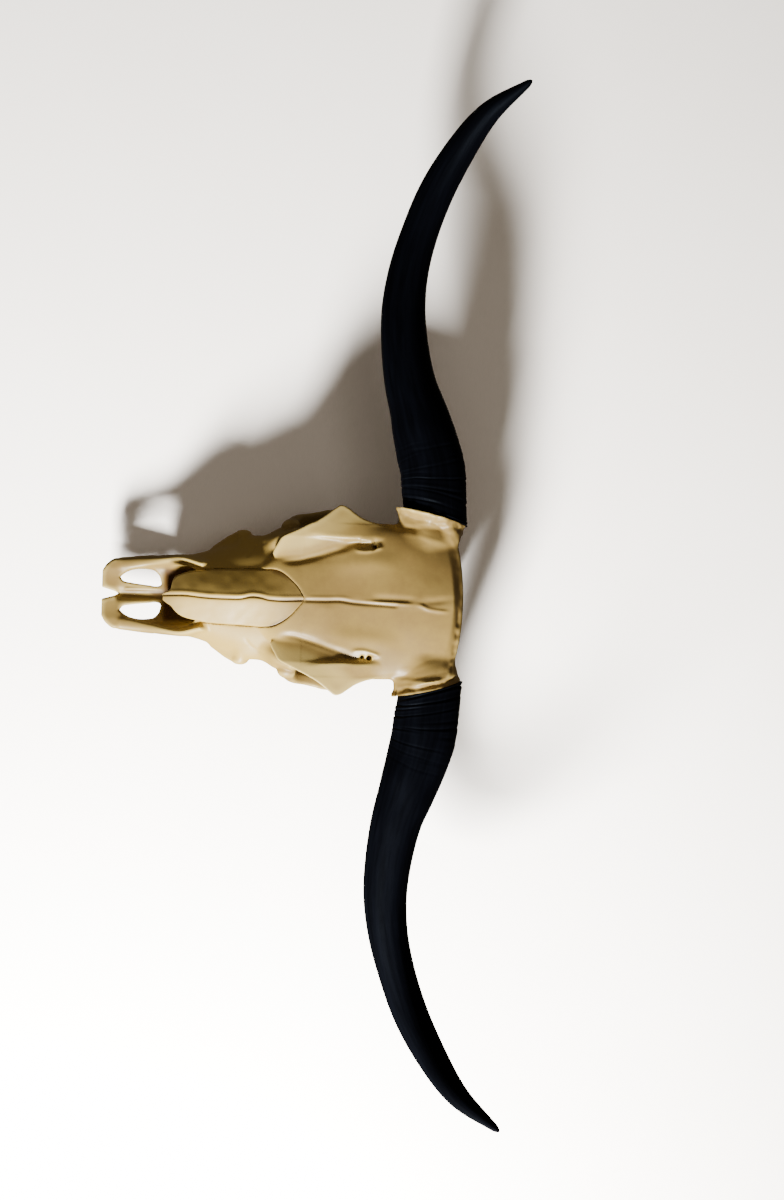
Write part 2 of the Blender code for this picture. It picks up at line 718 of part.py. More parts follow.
if __name__ == "__main__":
    build()
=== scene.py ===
# %% [markdown]
# # A longhorn cow skull: pale moulded bone and two black horns
#
# The real object is a life-size replica of a longhorn's skull. The bone is cast in cream resin with a
# satin skin, and the two horns are separate black pieces that butt against lumpy bony collars.
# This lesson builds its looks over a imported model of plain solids, which gives their sizes and places.
#
# The plan is:
# 1. describe the bones as a field, which is a number for each point of space that says how far it
#    lies outside the bone, and put a skin on it,
# 2. part that skin along the sutures, so that each bone is a closed piece of its own,
# 3. carry profiles along paths for the horns and over a grid for the nasal bones,
# 4. mix the finishes, and set up the floor, the lights and the camera.

# %% Bring in the fixed frame
import math
import time

import bpy
import numpy as np
from mathutils import Matrix, Vector


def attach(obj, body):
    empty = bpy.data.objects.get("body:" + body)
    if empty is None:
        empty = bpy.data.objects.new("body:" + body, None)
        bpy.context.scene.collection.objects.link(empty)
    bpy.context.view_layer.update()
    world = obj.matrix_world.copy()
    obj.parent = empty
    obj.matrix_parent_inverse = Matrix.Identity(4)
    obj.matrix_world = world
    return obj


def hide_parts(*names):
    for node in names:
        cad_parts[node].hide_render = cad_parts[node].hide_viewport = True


started = time.time()
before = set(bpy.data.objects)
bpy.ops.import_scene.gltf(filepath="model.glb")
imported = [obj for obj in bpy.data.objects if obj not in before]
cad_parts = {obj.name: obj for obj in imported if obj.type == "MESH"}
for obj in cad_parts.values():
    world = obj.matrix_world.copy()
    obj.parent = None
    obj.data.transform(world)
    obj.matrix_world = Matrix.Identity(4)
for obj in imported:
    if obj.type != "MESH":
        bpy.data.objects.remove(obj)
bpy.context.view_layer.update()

# %% [markdown]
# ## Measures
#
# Anatomists measure a skull from the tip of the nose. So do the numbers below: x runs from the nose
# towards the poll, y from the midline to the skull's right, z up from the worn faces of the teeth.
# One shift along x turns them into the frame's own coordinates.

# %% Sizes that several pieces share, in metres
MEASURE_START_X = -0.25887  # where the skull's own measures start, in the frame
STEP = 0.00125  # spacing of the lattice on which the field is worked out
FAR = 0.05  # value of the field where no bone is near
REACH = 0.016  # how far past its own outline a form is worked out
SEAM = 0.0004  # width of the joint between bone and horn
NASAL_SEAM = 0.00015  # width of the joint round the nasal bones
HAIRLINE = 0.000004  # width of the closed sutures between the other bones

PREMAXILLA_SUTURE = ((0.086, 0.035), (0.142, 0.104))  # x and z of two points of each suture's plane
FACE_SUTURE = ((0.243, 0.145), (0.312, 0.020))
CHEEK_BOX = ((0.2335, 0.376), (0.0865, 0.170), (0.060, 0.1345))  # x, y and z of the cheek bone's room
COLLAR_FACE = (0.4425, 0.1130, 0.156)  # middle of the flat that the right horn butts against
COLLAR_NORMAL = (0.23, 0.973, 0.0)
COLLAR_LEAN = 0.2364  # how far the collar's face comes inward for each metre toward the poll
POLL_BOW = 1.45  # the poll's edge curves forward by this much times y squared
ORBIT_CENTRE = (0.292, 0.112, 0.1165)
ORBIT_RADIUS = 0.0275
print("collar faces at y =", COLLAR_FACE[1], "m; lattice step", STEP, "m")


# %% [markdown]
# ## Smooth curves through a few stations
#
# A bone is described at a handful of stations, and a smooth curve fills in the rest. Cubic Hermite
# pieces do that: between two stations the value leaves one with its slope and meets the next with
# the next one's slope, so nothing kinks.

# %% Curves through stations
def smooth_at(knots, values, where):
    """Value of the smooth curve through (knots, values) at each place of where.

    u is the share of the way from one knot to the next. The curve is the two end values weighted by
    (1 + 2u)(1 - u)^2 and u^2(3 - 2u), plus the span times the slopes, weighted by u(1 - u)^2 and
    u^2(u - 1).
    """
    knots, values = np.asarray(knots, float), np.asarray(values, float)
    values = values.reshape(len(knots), -1)
    slope = np.gradient(values, knots, axis=0)
    i = np.clip(np.searchsorted(knots, where, side="right") - 1, 0, len(knots) - 2)
    span = (knots[i + 1] - knots[i])[:, None]
    u = np.clip((where - knots[i])[:, None] / span, 0.0, 1.0)
    ends = (1 + 2 * u) * (1 - u) ** 2 * values[i] + u * u * (3 - 2 * u) * values[i + 1]
    return ends + span * (u * (1 - u) ** 2 * slope[i] + u * u * (u - 1) * slope[i + 1])


def smooth_rows(stations, count):
    """Rows at even steps along the smooth curve through the stations; a row starts with x, y, z."""
    rows = np.array(stations, dtype=float)
    at = np.concatenate([[0.0], np.cumsum(np.linalg.norm(np.diff(rows[:, :3], axis=0), axis=1))])
    return smooth_at(at, rows, np.linspace(0.0, at[-1], count))


def ramp(value, start, end):
    """0 before start, 1 past end, and the smooth step u^2(3 - 2u) between them."""
    u = np.clip((value - start) / (end - start), 0.0, 1.0)
    return u * u * (3 - 2 * u)


LUMP_CELLS = 32  # the random numbers repeat after this many cells
LUMP_START = 1000.37  # keeps the cells' numbers positive, and their edges off the midline


def lumps(x, y, z, size, seed):
    """Random smooth lumps from -1 to 1: random numbers on a coarse lattice, blended by smooth steps."""
    table = np.random.default_rng(seed).uniform(-1, 1, (LUMP_CELLS,) * 3).astype(np.float32)
    cells, shares = [], []
    for value in (x, y, z):
        place = np.asarray(value, dtype=np.float32) / np.float32(size) + LUMP_START
        cell = np.floor(place).astype(int)
        cells.append(cell)
        shares.append(ramp(place - cell, 0.0, 1.0).astype(np.float32))
    total = 0.0
    for corner in range(8):
        steps = [(corner >> axis) & 1 for axis in range(3)]
        weight = 1.0
        for step, share in zip(steps, shares):
            weight = weight * (share if step else 1 - share)
        i, j, k = ((cell + step) % LUMP_CELLS for cell, step in zip(cells, steps))
        total = total + weight * table[i, j, k]
    return total


print("half way up a ramp:", float(ramp(0.5, 0.0, 1.0)))

# %% [markdown]
# ## Bone as a field
#
# Bone has hardly an edge: struts run into plates and plates into domes with a soft fillet. Joining
# meshes leaves a crease at each meeting, so the skull is built as a field instead. The field is
# negative inside the bone, positive outside, and close to the true distance near the surface.
# Two forms join by taking the lower of their two numbers, and where the numbers are close a small
# extra dip rounds the crease. A hollow is the same thing upside down. Only the right half is worked
# out, because the left one mirrors it.

# %% The field, and how forms join and carve it
class Field:
    """Distances on a lattice, with windows onto the part of it that a form reaches."""

    def __init__(self, lines, values=None):
        self.lines = lines
        shape = tuple(len(line) for line in lines)
        self.values = np.full(shape, FAR, np.float32) if values is None else values

    def window(self, low, high):
        """Slices of the lattice between two corners, and x, y, z there, shaped to broadcast."""
        spans = tuple(slice(*np.searchsorted(line, (a, b))) for line, a, b in zip(self.lines, low, high))
        x, y, z = (line[span] for line, span in zip(self.lines, spans))
        return spans, x[:, None, None], y[None, :, None], z[None, None, :]

    def join(self, form, blend):
        """The lower of field and form, less blend / 4 times the squared closeness of the two."""
        spans, distance = form(self)
        here = self.values[spans]
        close = np.maximum(blend - np.abs(here - distance), 0.0) / blend
        self.values[spans] = np.minimum(here, distance) - close * close * blend * 0.25

    def carve(self, form, blend):
        """The higher of field and minus form, plus blend / 4 times the squared closeness."""
        spans, distance = form(self)
        here = self.values[spans]
        close = np.maximum(blend - np.abs(here + distance), 0.0) / blend
        self.values[spans] = np.maximum(here, -distance) + close * close * blend * 0.25

    def raise_by(self, spans, height):
        """Moves the surface out by height, which may vary over the window; minus moves it in."""
        self.values[spans] = self.values[spans] - height


def lattice(low, high):
    """The places of the lattice's planes along x, y and z, at even steps."""
    return [np.arange(a, b, STEP, dtype=np.float32) for a, b in zip(low, high)]


half = Field(lattice((-0.004, 0.0, -0.006), (0.494, 0.142, 0.204)))
print("lattice of one half:", half.values.shape, half.values.size, "points")


# %% [markdown]
# ## Hulls for the broad bones
#
# The forehead, the face and the braincase are long rounded boxes whose section changes all the way.
# A loft between sections would need matching points on each. As a form in the field, a hull only
# needs its half width and three heights at each x. Its distance is how far a point is past the
# outline, divided by how fast that measure grows there, and the other forms work the same way.

# %% Hulls
def hull(stations, squareness, rounding=0.008, bow=0.0):
    """A form along x. With a = |y| / half width and b = height over the widest line / room there,
    the radius is (a^p + b^p)^(1/p), and the distance is (radius - 1) / its slope. Off the midline
    the rear end lies farther forward, by bow times y squared."""
    rows = np.array(stations)

    def form(field):
        spans, x, y, z = field.window(
            (rows[0, 0] - REACH, -rows[:, 1].max() - REACH, rows[:, 4].min() - REACH),
            (rows[-1, 0] + REACH, rows[:, 1].max() + REACH, rows[:, 2].max() + REACH))
        columns = smooth_at(rows[:, 0], rows[:, 1:], x.ravel()).T.astype(np.float32)
        side, top, wide, low = (column[:, None, None] for column in columns)
        room = np.where(z > wide, top - wide, wide - low)
        a, b = np.abs(y) / side, np.abs(z - wide) / room
        radius = np.maximum((a ** squareness + b ** squareness) ** (1 / squareness), 1e-3)
        slope = np.hypot((a / radius) ** (squareness - 1) / side, (b / radius) ** (squareness - 1) / room)
        across = (radius - 1) / slope
        ends = np.maximum(rows[0, 0] - x, x - rows[-1, 0] + bow * y * y) + np.zeros_like(across)
        close = np.maximum(rounding - np.abs(across - ends), 0.0) / rounding
        return spans, np.maximum(across, ends) + close * close * rounding * 0.25

    return form


print("a hull takes rows of x, half width, top, widest line and low")

# %% [markdown]
# ## Limbs for struts, rims and processes
#
# The arch of the cheek, the rim of the eye and the processes behind it are bars that bend. A limb is
# an oval that travels along a bent line. It is worked out in short straight runs, because the nearest
# point of a straight run is quick to find.

# %% Limbs
def limb(stations, side=(0.0, 1.0, 0.0), squareness=2.0, rows=20, cap=0.8):
    """A bent bar. A station is a point, then its half width toward side and its half thickness.

    Each short run of the bar gives a distance like a hull's, from how far a point lies off its axis
    in the two directions of the oval and past its ends; the bar is the lowest of them.
    """
    line = smooth_rows(stations, rows)

    def form(field):
        swell = line[:, 3:5].max()
        low, high = line[:, :3].min(0) - swell - REACH, line[:, :3].max(0) + swell + REACH
        spans, x, y, z = field.window(low, high)
        distance = np.full(np.broadcast_shapes(x.shape, y.shape, z.shape), FAR, np.float32)
        corner = [span.start for span in spans]
        for near, far in zip(line, line[1:]):
            pad = max(near[3:5].max(), far[3:5].max()) + REACH
            inner, u, v, w = field.window(
                np.maximum(np.minimum(near[:3], far[:3]) - pad, low),
                np.minimum(np.maximum(near[:3], far[:3]) + pad, high))
            local = tuple(slice(s.start - c, s.stop - c) for s, c in zip(inner, corner))
            run = far[:3] - near[:3]
            length = np.linalg.norm(run)
            ahead = run / length
            wide = np.array(side) - np.dot(side, ahead) * ahead
            wide /= np.linalg.norm(wide)
            thick = np.cross(ahead, wide)
            u, v, w = u - near[0], v - near[1], w - near[2]
            along = u * ahead[0] + v * ahead[1] + w * ahead[2]
            share = np.clip(along / length, 0.0, 1.0)
            past = along - share * length
            half_wide = near[3] + share * (far[3] - near[3])
            half_thick = near[4] + share * (far[4] - near[4])
            end = cap * np.minimum(half_wide, half_thick)
            a = np.abs(u * wide[0] + v * wide[1] + w * wide[2]) / half_wide
            b = np.abs(u * thick[0] + v * thick[1] + w * thick[2]) / half_thick
            c = np.abs(past) / end
            p = squareness
            radius = np.maximum((a ** p + b ** p + c ** p) ** (1 / p), 1e-3)
            slope = np.sqrt(((a / radius) ** (p - 1) / half_wide) ** 2
                            + ((b / radius) ** (p - 1) / half_thick) ** 2
                            + ((c / radius) ** (p - 1) / end) ** 2)
            distance[local] = np.minimum(distance[local], (radius - 1) / slope)
        return spans, distance

    return form


print("a limb takes rows of x, y, z, half width and half thickness")

# %% [markdown]
# ## Balls and plates
#
# Knobs and pits are ellipsoids. The brow and the arms of the premaxilla are thin shelves with a crisp
# outline, so a plate is a closed outline in plan with a thickness under a curved upper face.

# %% Balls and plates
def ball(centre, radii):
    """An ellipsoid: the distance is (radius - 1) / slope, with the radius in units of its half axes."""
    def form(field):
        low, high = np.array(centre) - radii - REACH, np.array(centre) + radii + REACH
        spans, x, y, z = field.window(low, high)
        a, b, c = ((v - m) / r for v, m, r in zip((x, y, z), centre, radii))
        radius = np.maximum(np.sqrt(a * a + b * b + c * c), 1e-3)
        slope = np.sqrt((a / radii[0]) ** 2 + (b / radii[1]) ** 2 + (c / radii[2]) ** 2) / radius
        return spans, (radius - 1) / slope

    return form


def plan_distance(x, y, outline):
    """Distance in plan to a closed outline, less than zero inside it.

    The nearest side of the outline gives the distance. A point is inside when a line from it toward
    +y crosses the outline an odd number of times.
    """
    points = np.array(outline, dtype=np.float32)
    least = None
    inside = np.zeros(np.broadcast_shapes(x.shape, y.shape), bool)
    for (ax, ay), (bx, by) in zip(points, np.roll(points, -1, axis=0)):
        run_x, run_y = bx - ax, by - ay
        length = max(run_x ** 2 + run_y ** 2, 1e-12)
        share = np.clip(((x - ax) * run_x + (y - ay) * run_y) / length, 0.0, 1.0)
        square = (x - ax - share * run_x) ** 2 + (y - ay - share * run_y) ** 2
        least = square if least is None else np.minimum(least, square)
        if ax != bx:
            inside ^= ((ax <= x) != (bx <= x)) & (y < ay + (x - ax) * run_y / run_x)
    return np.where(inside, -np.sqrt(least), np.sqrt(least))


def plate(outline, top, thickness, edge):
    """A slab with an outline in plan, its upper face at the height top(x, y), and a rounded edge.

    With a = distance past the outline + edge and b = distance past either face + edge, the distance
    is the length of (a, b) where both are positive, else the greater of the two, less edge.
    """
    points = np.array(outline)

    def form(field):
        spans, x, y, z = field.window((*(points.min(0) - REACH), -1.0), (*(points.max(0) + REACH), 1.0))
        beside = plan_distance(x, y, points) + edge
        above = np.abs(z - top(x, y) + thickness / 2) - thickness / 2 + edge
        outside = np.hypot(np.maximum(beside, 0), np.maximum(above, 0))
        return spans, outside + np.minimum(np.maximum(beside, above), 0) - edge

    return form


print("a plate takes an outline in plan and the height of its upper face")

# %% [markdown]
# ## Strokes and marks
#
# Grooves and ridges follow lines on the bone. A stroke raises or engraves the field along a path in
# space, by a bell-shaped profile. A mark does the same along a path in plan. The lattice is too coarse
# for the finest marks, so they are only noted here, and the skin's own vertices take them later.

# %% Strokes and marks
def near_path(x, y, z, path, count=24):
    """Distance of each point to the smooth line through a path, and how far along it, from 0 to 1."""
    line = smooth_rows(path, count)
    least = share_there = None
    for number, (near, far) in enumerate(zip(line, line[1:])):
        run = far - near
        u, v, w = x - near[0], y - near[1], z - near[2]
        share = np.clip((u * run[0] + v * run[1] + w * run[2]) / np.dot(run, run), 0.0, 1.0)
        square = (u - share * run[0]) ** 2 + (v - share * run[1]) ** 2 + (w - share * run[2]) ** 2
        along = (number + share) / (len(line) - 1) + np.zeros_like(square)
        if least is None:
            least, share_there = square, along
        else:
            share_there = np.where(square < least, along, share_there)
            least = np.minimum(least, square)
    return np.sqrt(least), share_there


def bell(x, y, z, path, width, fade, count):
    """exp(-(distance / width)^2), faded in and out over the given share of the path's length."""
    distance, along = near_path(x, y, z, path, count)
    ends = ramp(np.minimum(along, 1 - along), 0.0, fade) if fade else 1.0
    return ends * np.exp(-(distance / width) ** 2)


def stroke(field, path, width, height, fade=0.25, count=24):
    """Raises the bone along a path by height times a bell curve across it; minus engraves it."""
    points = np.array(path)
    spans, x, y, z = field.window(points.min(0) - 3 * width, points.max(0) + 3 * width)
    field.raise_by(spans, height * bell(x, y, z, path, width, fade, count))


MARKS = []
MARK_FADE = 0.006  # height over which a mark comes in, past the height where it starts


def mark(path, width, height, above, fade=0.25, count=24, both_sides=False):
    """Notes a stroke that is seen from above: its distance is taken in plan, at heights past above."""
    points = np.array([(x, y, 0.0) for x, y in path])
    MARKS.append((points, width, height, above, fade, count))
    if both_sides:
        MARKS.append((points * (1, -1, 1), width, height, above, fade, count))


def mark_field(field):
    """Raises a field by each mark: height times its bell in plan, faded in past the height above."""
    for points, width, height, above, fade, count in MARKS:
        low, high = points.min(0)[:2] - 3 * width, points.max(0)[:2] + 3 * width
        spans, x, y, z = field.window((*low, above), (*high, 1.0))
        flat = bell(x, y, np.zeros((1, 1, 1)), points, width, fade, count)
        field.raise_by(spans, height * flat * ramp(z, above, above + MARK_FADE))


def mark_vertices(vertices):
    """Moves vertices up or down by the marks, which stay crisper here than on the lattice."""
    for points, width, height, above, fade, count in MARKS:
        low, high = points.min(0)[:2] - 3 * width, points.max(0)[:2] + 3 * width
        plan = vertices[:, :2]
        inside = (plan > low).all(1) & (plan < high).all(1) & (vertices[:, 2] > above)
        x, y, z = vertices[inside].T
        flat = bell(x, y, np.zeros(len(x)), points, width, fade, count)
        vertices[inside, 2] += height * flat * ramp(z, above, above + MARK_FADE)
    return vertices


print("strokes and marks ready")

# %% [markdown]
# ## The broad bones
#
# Forehead, face and braincase come first, because the rest grows out of them. The forehead is a
# flat shield that is widest at the eyes, pinched behind them and broad again at the poll. The face
# is a wedge. The braincase hangs under the forehead, with the wall of the orbits in front and the
# nape behind.

# %% Forehead, face and braincase
half.join(hull((  # forehead
    (0.212, 0.036, 0.129, 0.116, 0.095),
    (0.240, 0.062, 0.140, 0.121, 0.092),
    (0.270, 0.078, 0.1475, 0.129, 0.100),
    (0.310, 0.094, 0.1580, 0.140, 0.110),
    (0.345, 0.1040, 0.1680, 0.149, 0.118),
    (0.365, 0.1035, 0.1730, 0.152, 0.120),
    (0.390, 0.1030, 0.1780, 0.155, 0.122),
    (0.425, 0.1025, 0.1830, 0.157, 0.120),
    (0.455, 0.1020, 0.1838, 0.155, 0.122),
    (0.470, 0.1010, 0.1830, 0.151, 0.128),
    (0.4805, 0.1000, 0.1800, 0.150, 0.136),
), 2.9, rounding=0.005, bow=POLL_BOW), 0.008)
half.join(hull((  # face
    (0.070, 0.046, 0.066, 0.052, 0.040),
    (0.100, 0.0520, 0.088, 0.057, 0.036),
    (0.140, 0.0615, 0.1115, 0.062, 0.028),
    (0.170, 0.073, 0.1190, 0.066, 0.021),
    (0.197, 0.0815, 0.1255, 0.072, 0.019),
    (0.225, 0.083, 0.1325, 0.081, 0.019),
    (0.250, 0.083, 0.1390, 0.092, 0.020),
    (0.272, 0.075, 0.139, 0.094, 0.024),
    (0.292, 0.053, 0.133, 0.088, 0.034),
), 2.04), 0.008)
half.join(hull((  # braincase
    (0.262, 0.036, 0.135, 0.098, 0.052),
    (0.300, 0.038, 0.145, 0.100, 0.058),
    (0.345, 0.044, 0.160, 0.105, 0.056),
    (0.385, 0.056, 0.168, 0.108, 0.052),
    (0.425, 0.063, 0.170, 0.108, 0.048),
    (0.455, 0.060, 0.168, 0.105, 0.048),
    (0.468, 0.050, 0.155, 0.100, 0.054),
), 2.3), 0.012)
half.join(limb((  # nape
    (0.4400, 0, 0.044, 0.040, 0.010),
    (0.4430, 0, 0.066, 0.066, 0.013),
    (0.4470, 0, 0.094, 0.083, 0.015),
    (0.4550, 0, 0.124, 0.084, 0.016),
    (0.4590, 0, 0.155, 0.090, 0.016),
), squareness=2.5), 0.010)
half.join(limb((  # base, from the condyles forward
    (0.300, 0, 0.064, 0.012, 0.008),
    (0.360, 0, 0.056, 0.015, 0.009),
    (0.410, 0, 0.048, 0.022, 0.010),
    (0.452, 0, 0.044, 0.026, 0.011),
)), 0.008)
print("broad bones:", round(time.time() - started, 1), "s")

# %% [markdown]
# ## Cheeks, orbits and arches
#
# The facial tuber is the kink in the outline half way up the face. In front of the eye the lacrimal
# and the cheek bone make a knob, and round the eye runs a rim whose upper edge flares out in a wing.
# From under the eye the zygomatic arch reaches back to the joint of the jaw. Behind the teeth the
# tuber of the maxilla bulges under the eye, and the edge of the jaw that holds the teeth is a bar.

# %% Cheeks, orbits and arches
half.join(limb((  # facial tuber
    (0.160, 0.062, 0.062, 0.011, 0.010),
    (0.176, 0.0720, 0.070, 0.0125, 0.009),
    (0.190, 0.0795, 0.077, 0.0125, 0.008),
)), 0.008)
half.join(ball((0.1930, 0.0856, 0.079), (0.0100, 0.0070, 0.0070)), 0.004)
half.join(limb((  # crest from the tuber to the eye
    (0.196, 0.0700, 0.084, 0.0130, 0.010),
    (0.222, 0.0715, 0.092, 0.0130, 0.012),
    (0.244, 0.0830, 0.104, 0.0130, 0.014),
)), 0.010)
half.join(ball((0.284, 0.046, 0.052), (0.024, 0.019, 0.026)), 0.010)
half.join(limb((  # edge of the upper jaw
    (0.138, 0.0420, 0.0370, 0.0100, 0.0110),
    (0.165, 0.0455, 0.0350, 0.0125, 0.0125),
    (0.215, 0.0530, 0.0355, 0.0140, 0.0125),
    (0.262, 0.0555, 0.0360, 0.0140, 0.0125),
    (0.292, 0.0520, 0.0380, 0.0120, 0.0120),
)), 0.008)
half.join(limb((  # lacrimal bone
    (0.2360, 0.0660, 0.1020, 0.0140, 0.0165),
    (0.2500, 0.0790, 0.1140, 0.0130, 0.0180),
    (0.2640, 0.0860, 0.1240, 0.0100, 0.0140),
)), 0.008)
half.join(limb((  # rim of the eye
    (0.2540, 0.0960, 0.1080, 0.0105, 0.0110),
    (0.2640, 0.1050, 0.0970, 0.0095, 0.0100),
    (0.2820, 0.1105, 0.0870, 0.0078, 0.0090),
    (0.3000, 0.1150, 0.0870, 0.0072, 0.0080),
    (0.3140, 0.1175, 0.0950, 0.0068, 0.0072),
    (0.3215, 0.1165, 0.1120, 0.0062, 0.0070),
    (0.3235, 0.1165, 0.1300, 0.0060, 0.0072),
    (0.3200, 0.1165, 0.1490, 0.0060, 0.0080),
), rows=36), 0.004)
half.join(ball((0.2575, 0.0965, 0.1105), (0.0155, 0.0105, 0.0115)), 0.004)
half.join(limb((  # zygomatic arch
    (0.305, 0.1150, 0.0880, 0.0060, 0.0090),
    (0.335, 0.1060, 0.0845, 0.0050, 0.0080),
    (0.368, 0.0950, 0.0840, 0.0050, 0.0075),
    (0.398, 0.0845, 0.0860, 0.0080, 0.0075),
    (0.420, 0.0700, 0.0890, 0.0115, 0.0085),
)), 0.006)
half.join(ball((0.398, 0.074, 0.0835), (0.014, 0.022, 0.0075)), 0.006)
print("cheeks and orbits:", round(time.time() - started, 1), "s")

# %% [markdown]
# ## Base of the skull and the collars of the horns
#
# Under the nape sit the two condyles that carry the head, and beside each a long process. The skull
# lies on those two processes and on its teeth. The bullae hold the ears, and behind the palate two
# thin wings of bone hang down. At the poll's corners a bony core runs out sideways and flares into the
# collar that the horn butts against.

# %% Base of the skull
half.join(ball((0.4590, 0.0240, 0.0500), (0.0160, 0.0145, 0.0195)), 0.005)  # condyle
half.join(limb((  # process beside the condyle
    (0.4400, 0.0580, 0.0720, 0.0180, 0.0110),
    (0.4390, 0.0530, 0.0440, 0.0150, 0.0085),
    (0.4350, 0.0480, 0.0200, 0.0110, 0.0070),
    (0.4300, 0.0450, -0.0040, 0.0080, 0.0062),
), side=(1, 0, 0)), 0.006)
half.join(ball((0.4080, 0.0400, 0.0440), (0.0175, 0.0120, 0.0205)), 0.004)  # bulla
half.join(limb((  # bony tube of the ear
    (0.4180, 0.0560, 0.0780, 0.0100, 0.0100),
    (0.4240, 0.0795, 0.0860, 0.0088, 0.0088),
)), 0.005)
half.join(limb((  # wing behind the palate, and its hook
    (0.2900, 0.0240, 0.0520, 0.0240, 0.0040),
    (0.3160, 0.0220, 0.0500, 0.0250, 0.0032),
    (0.3420, 0.0200, 0.0560, 0.0190, 0.0032),
    (0.3620, 0.0190, 0.0600, 0.0100, 0.0034),
), side=(0, 0, 1)), 0.004)
half.join(limb((
    (0.3160, 0.0225, 0.0420, 0.0080, 0.0030),
    (0.3220, 0.0240, 0.0260, 0.0040, 0.0026),
), side=(1, 0, 0)), 0.004)
print("base:", round(time.time() - started, 1), "s")

# %% Collars
half.join(limb((  # horn core and collar
    (0.4380, 0.0550, 0.1450, 0.0300, 0.0200),
    (0.4330, 0.0800, 0.1500, 0.0365, 0.0262),
    (0.4335, 0.0940, 0.1530, 0.0405, 0.0285),
    (0.4370, 0.1030, 0.1555, 0.0435, 0.0338),
    (0.4388, 0.1130, 0.1560, 0.0448, 0.0362),
    (0.4370, 0.1350, 0.1560, 0.0448, 0.0362),
), side=(1, 0, 0), rows=26), 0.008)
half.join(limb((  # swelling at the corner of the forehead
    (0.4340, 0.0850, 0.1670, 0.0130, 0.0125),
    (0.4620, 0.0890, 0.1680, 0.0110, 0.0120),
)), 0.012)
print("collars:", round(time.time() - started, 1), "s")

# %% [markdown]
# ## Premaxillae
#
# Two flat arms bend round the palatine fissures at the front of the nose, with a bar on each side of
# the midline. The arm is a plate with the outline that shows from above, and a limb carries its outer
# edge up and back to the nose's side.

# %% Premaxillae
PALATE_ARM = (  # outline in plan
    (0.0022, 0.0078), (0.0022, 0.0200), (0.0024, 0.0310), (0.0070, 0.0392), (0.0130, 0.0450),
    (0.0190, 0.0484), (0.0290, 0.0478), (0.0380, 0.0484), (0.0500, 0.0502), (0.0600, 0.0516),
    (0.0720, 0.0526), (0.0720, -0.0050), (0.0250, -0.0050), (0.0242, 0.0008), (0.0180, 0.0032),
    (0.0100, 0.0056))
FISSURE = (
    (0.0262, 0.0227), (0.0300, 0.0178), (0.0405, 0.0154), (0.0540, 0.0137), (0.0660, 0.0126),
    (0.0785, 0.0118), (0.0812, 0.0135), (0.0808, 0.0190), (0.0785, 0.0262), (0.0722, 0.0322),
    (0.0635, 0.0342), (0.0510, 0.0344), (0.0405, 0.0322), (0.0323, 0.0281))
ARM_THICKNESS, ARM_EDGE = 0.0115, 0.0048  # the second is the radius of its rounded edge


def arm_height(x, y):
    """Upper face of the arm: level at the tip, then rising by 3 cm for each metre toward the poll."""
    return 0.0545 + 0.0300 * np.maximum(x - 0.040, 0.0)


half.join(plate(PALATE_ARM, arm_height, ARM_THICKNESS, ARM_EDGE), 0.004)
half.join(limb((  # outer edge of the arm, up to the nose's side
    (0.0300, 0.0400, 0.0500, 0.0090, 0.0066),
    (0.0500, 0.0425, 0.0520, 0.0088, 0.0078),
    (0.0700, 0.0448, 0.0555, 0.0085, 0.0095),
    (0.0950, 0.0478, 0.0640, 0.0074, 0.0148),
    (0.1200, 0.0495, 0.0810, 0.0058, 0.0145),
    (0.1420, 0.0430, 0.1000, 0.0045, 0.0090),
), rows=28), 0.006)
half.join(limb((  # bar beside the midline
    (0.0260, 0.0056, 0.0480, 0.0062, 0.0050),
    (0.0500, 0.0060, 0.0475, 0.0066, 0.0060),
    (0.0800, 0.0060, 0.0465, 0.0062, 0.0070),
    (0.1200, 0.0060, 0.0440, 0.0062, 0.0070),
)), 0.003)
half.join(limb((  # front of the palate
    (0.0990, 0.0000, 0.0395, 0.0140, 0.0036),
    (0.0990, 0.0480, 0.0410, 0.0140, 0.0040),
), side=(1, 0, 0)), 0.006)
print("premaxillae:", round(time.time() - started, 1), "s")

# %% [markdown]
# ## Cheek teeth
#
# Six teeth a side stand in the edge of the upper jaw. Each is a squarish column, and the molars have
# two lobes. Narrow ridges run down the outer face at the ends and between the lobes, and the worn
# face has a shallow pit in each lobe, which is carved later with the other hollows.

# %% Teeth
TOOTH_ROW_X = (0.150, 0.290)
TOOTH_LENGTHS = (0.017, 0.019, 0.019, 0.024, 0.030, 0.031)  # second premolar to third molar
MOLAR_LENGTH = 0.022  # teeth longer than this have two lobes

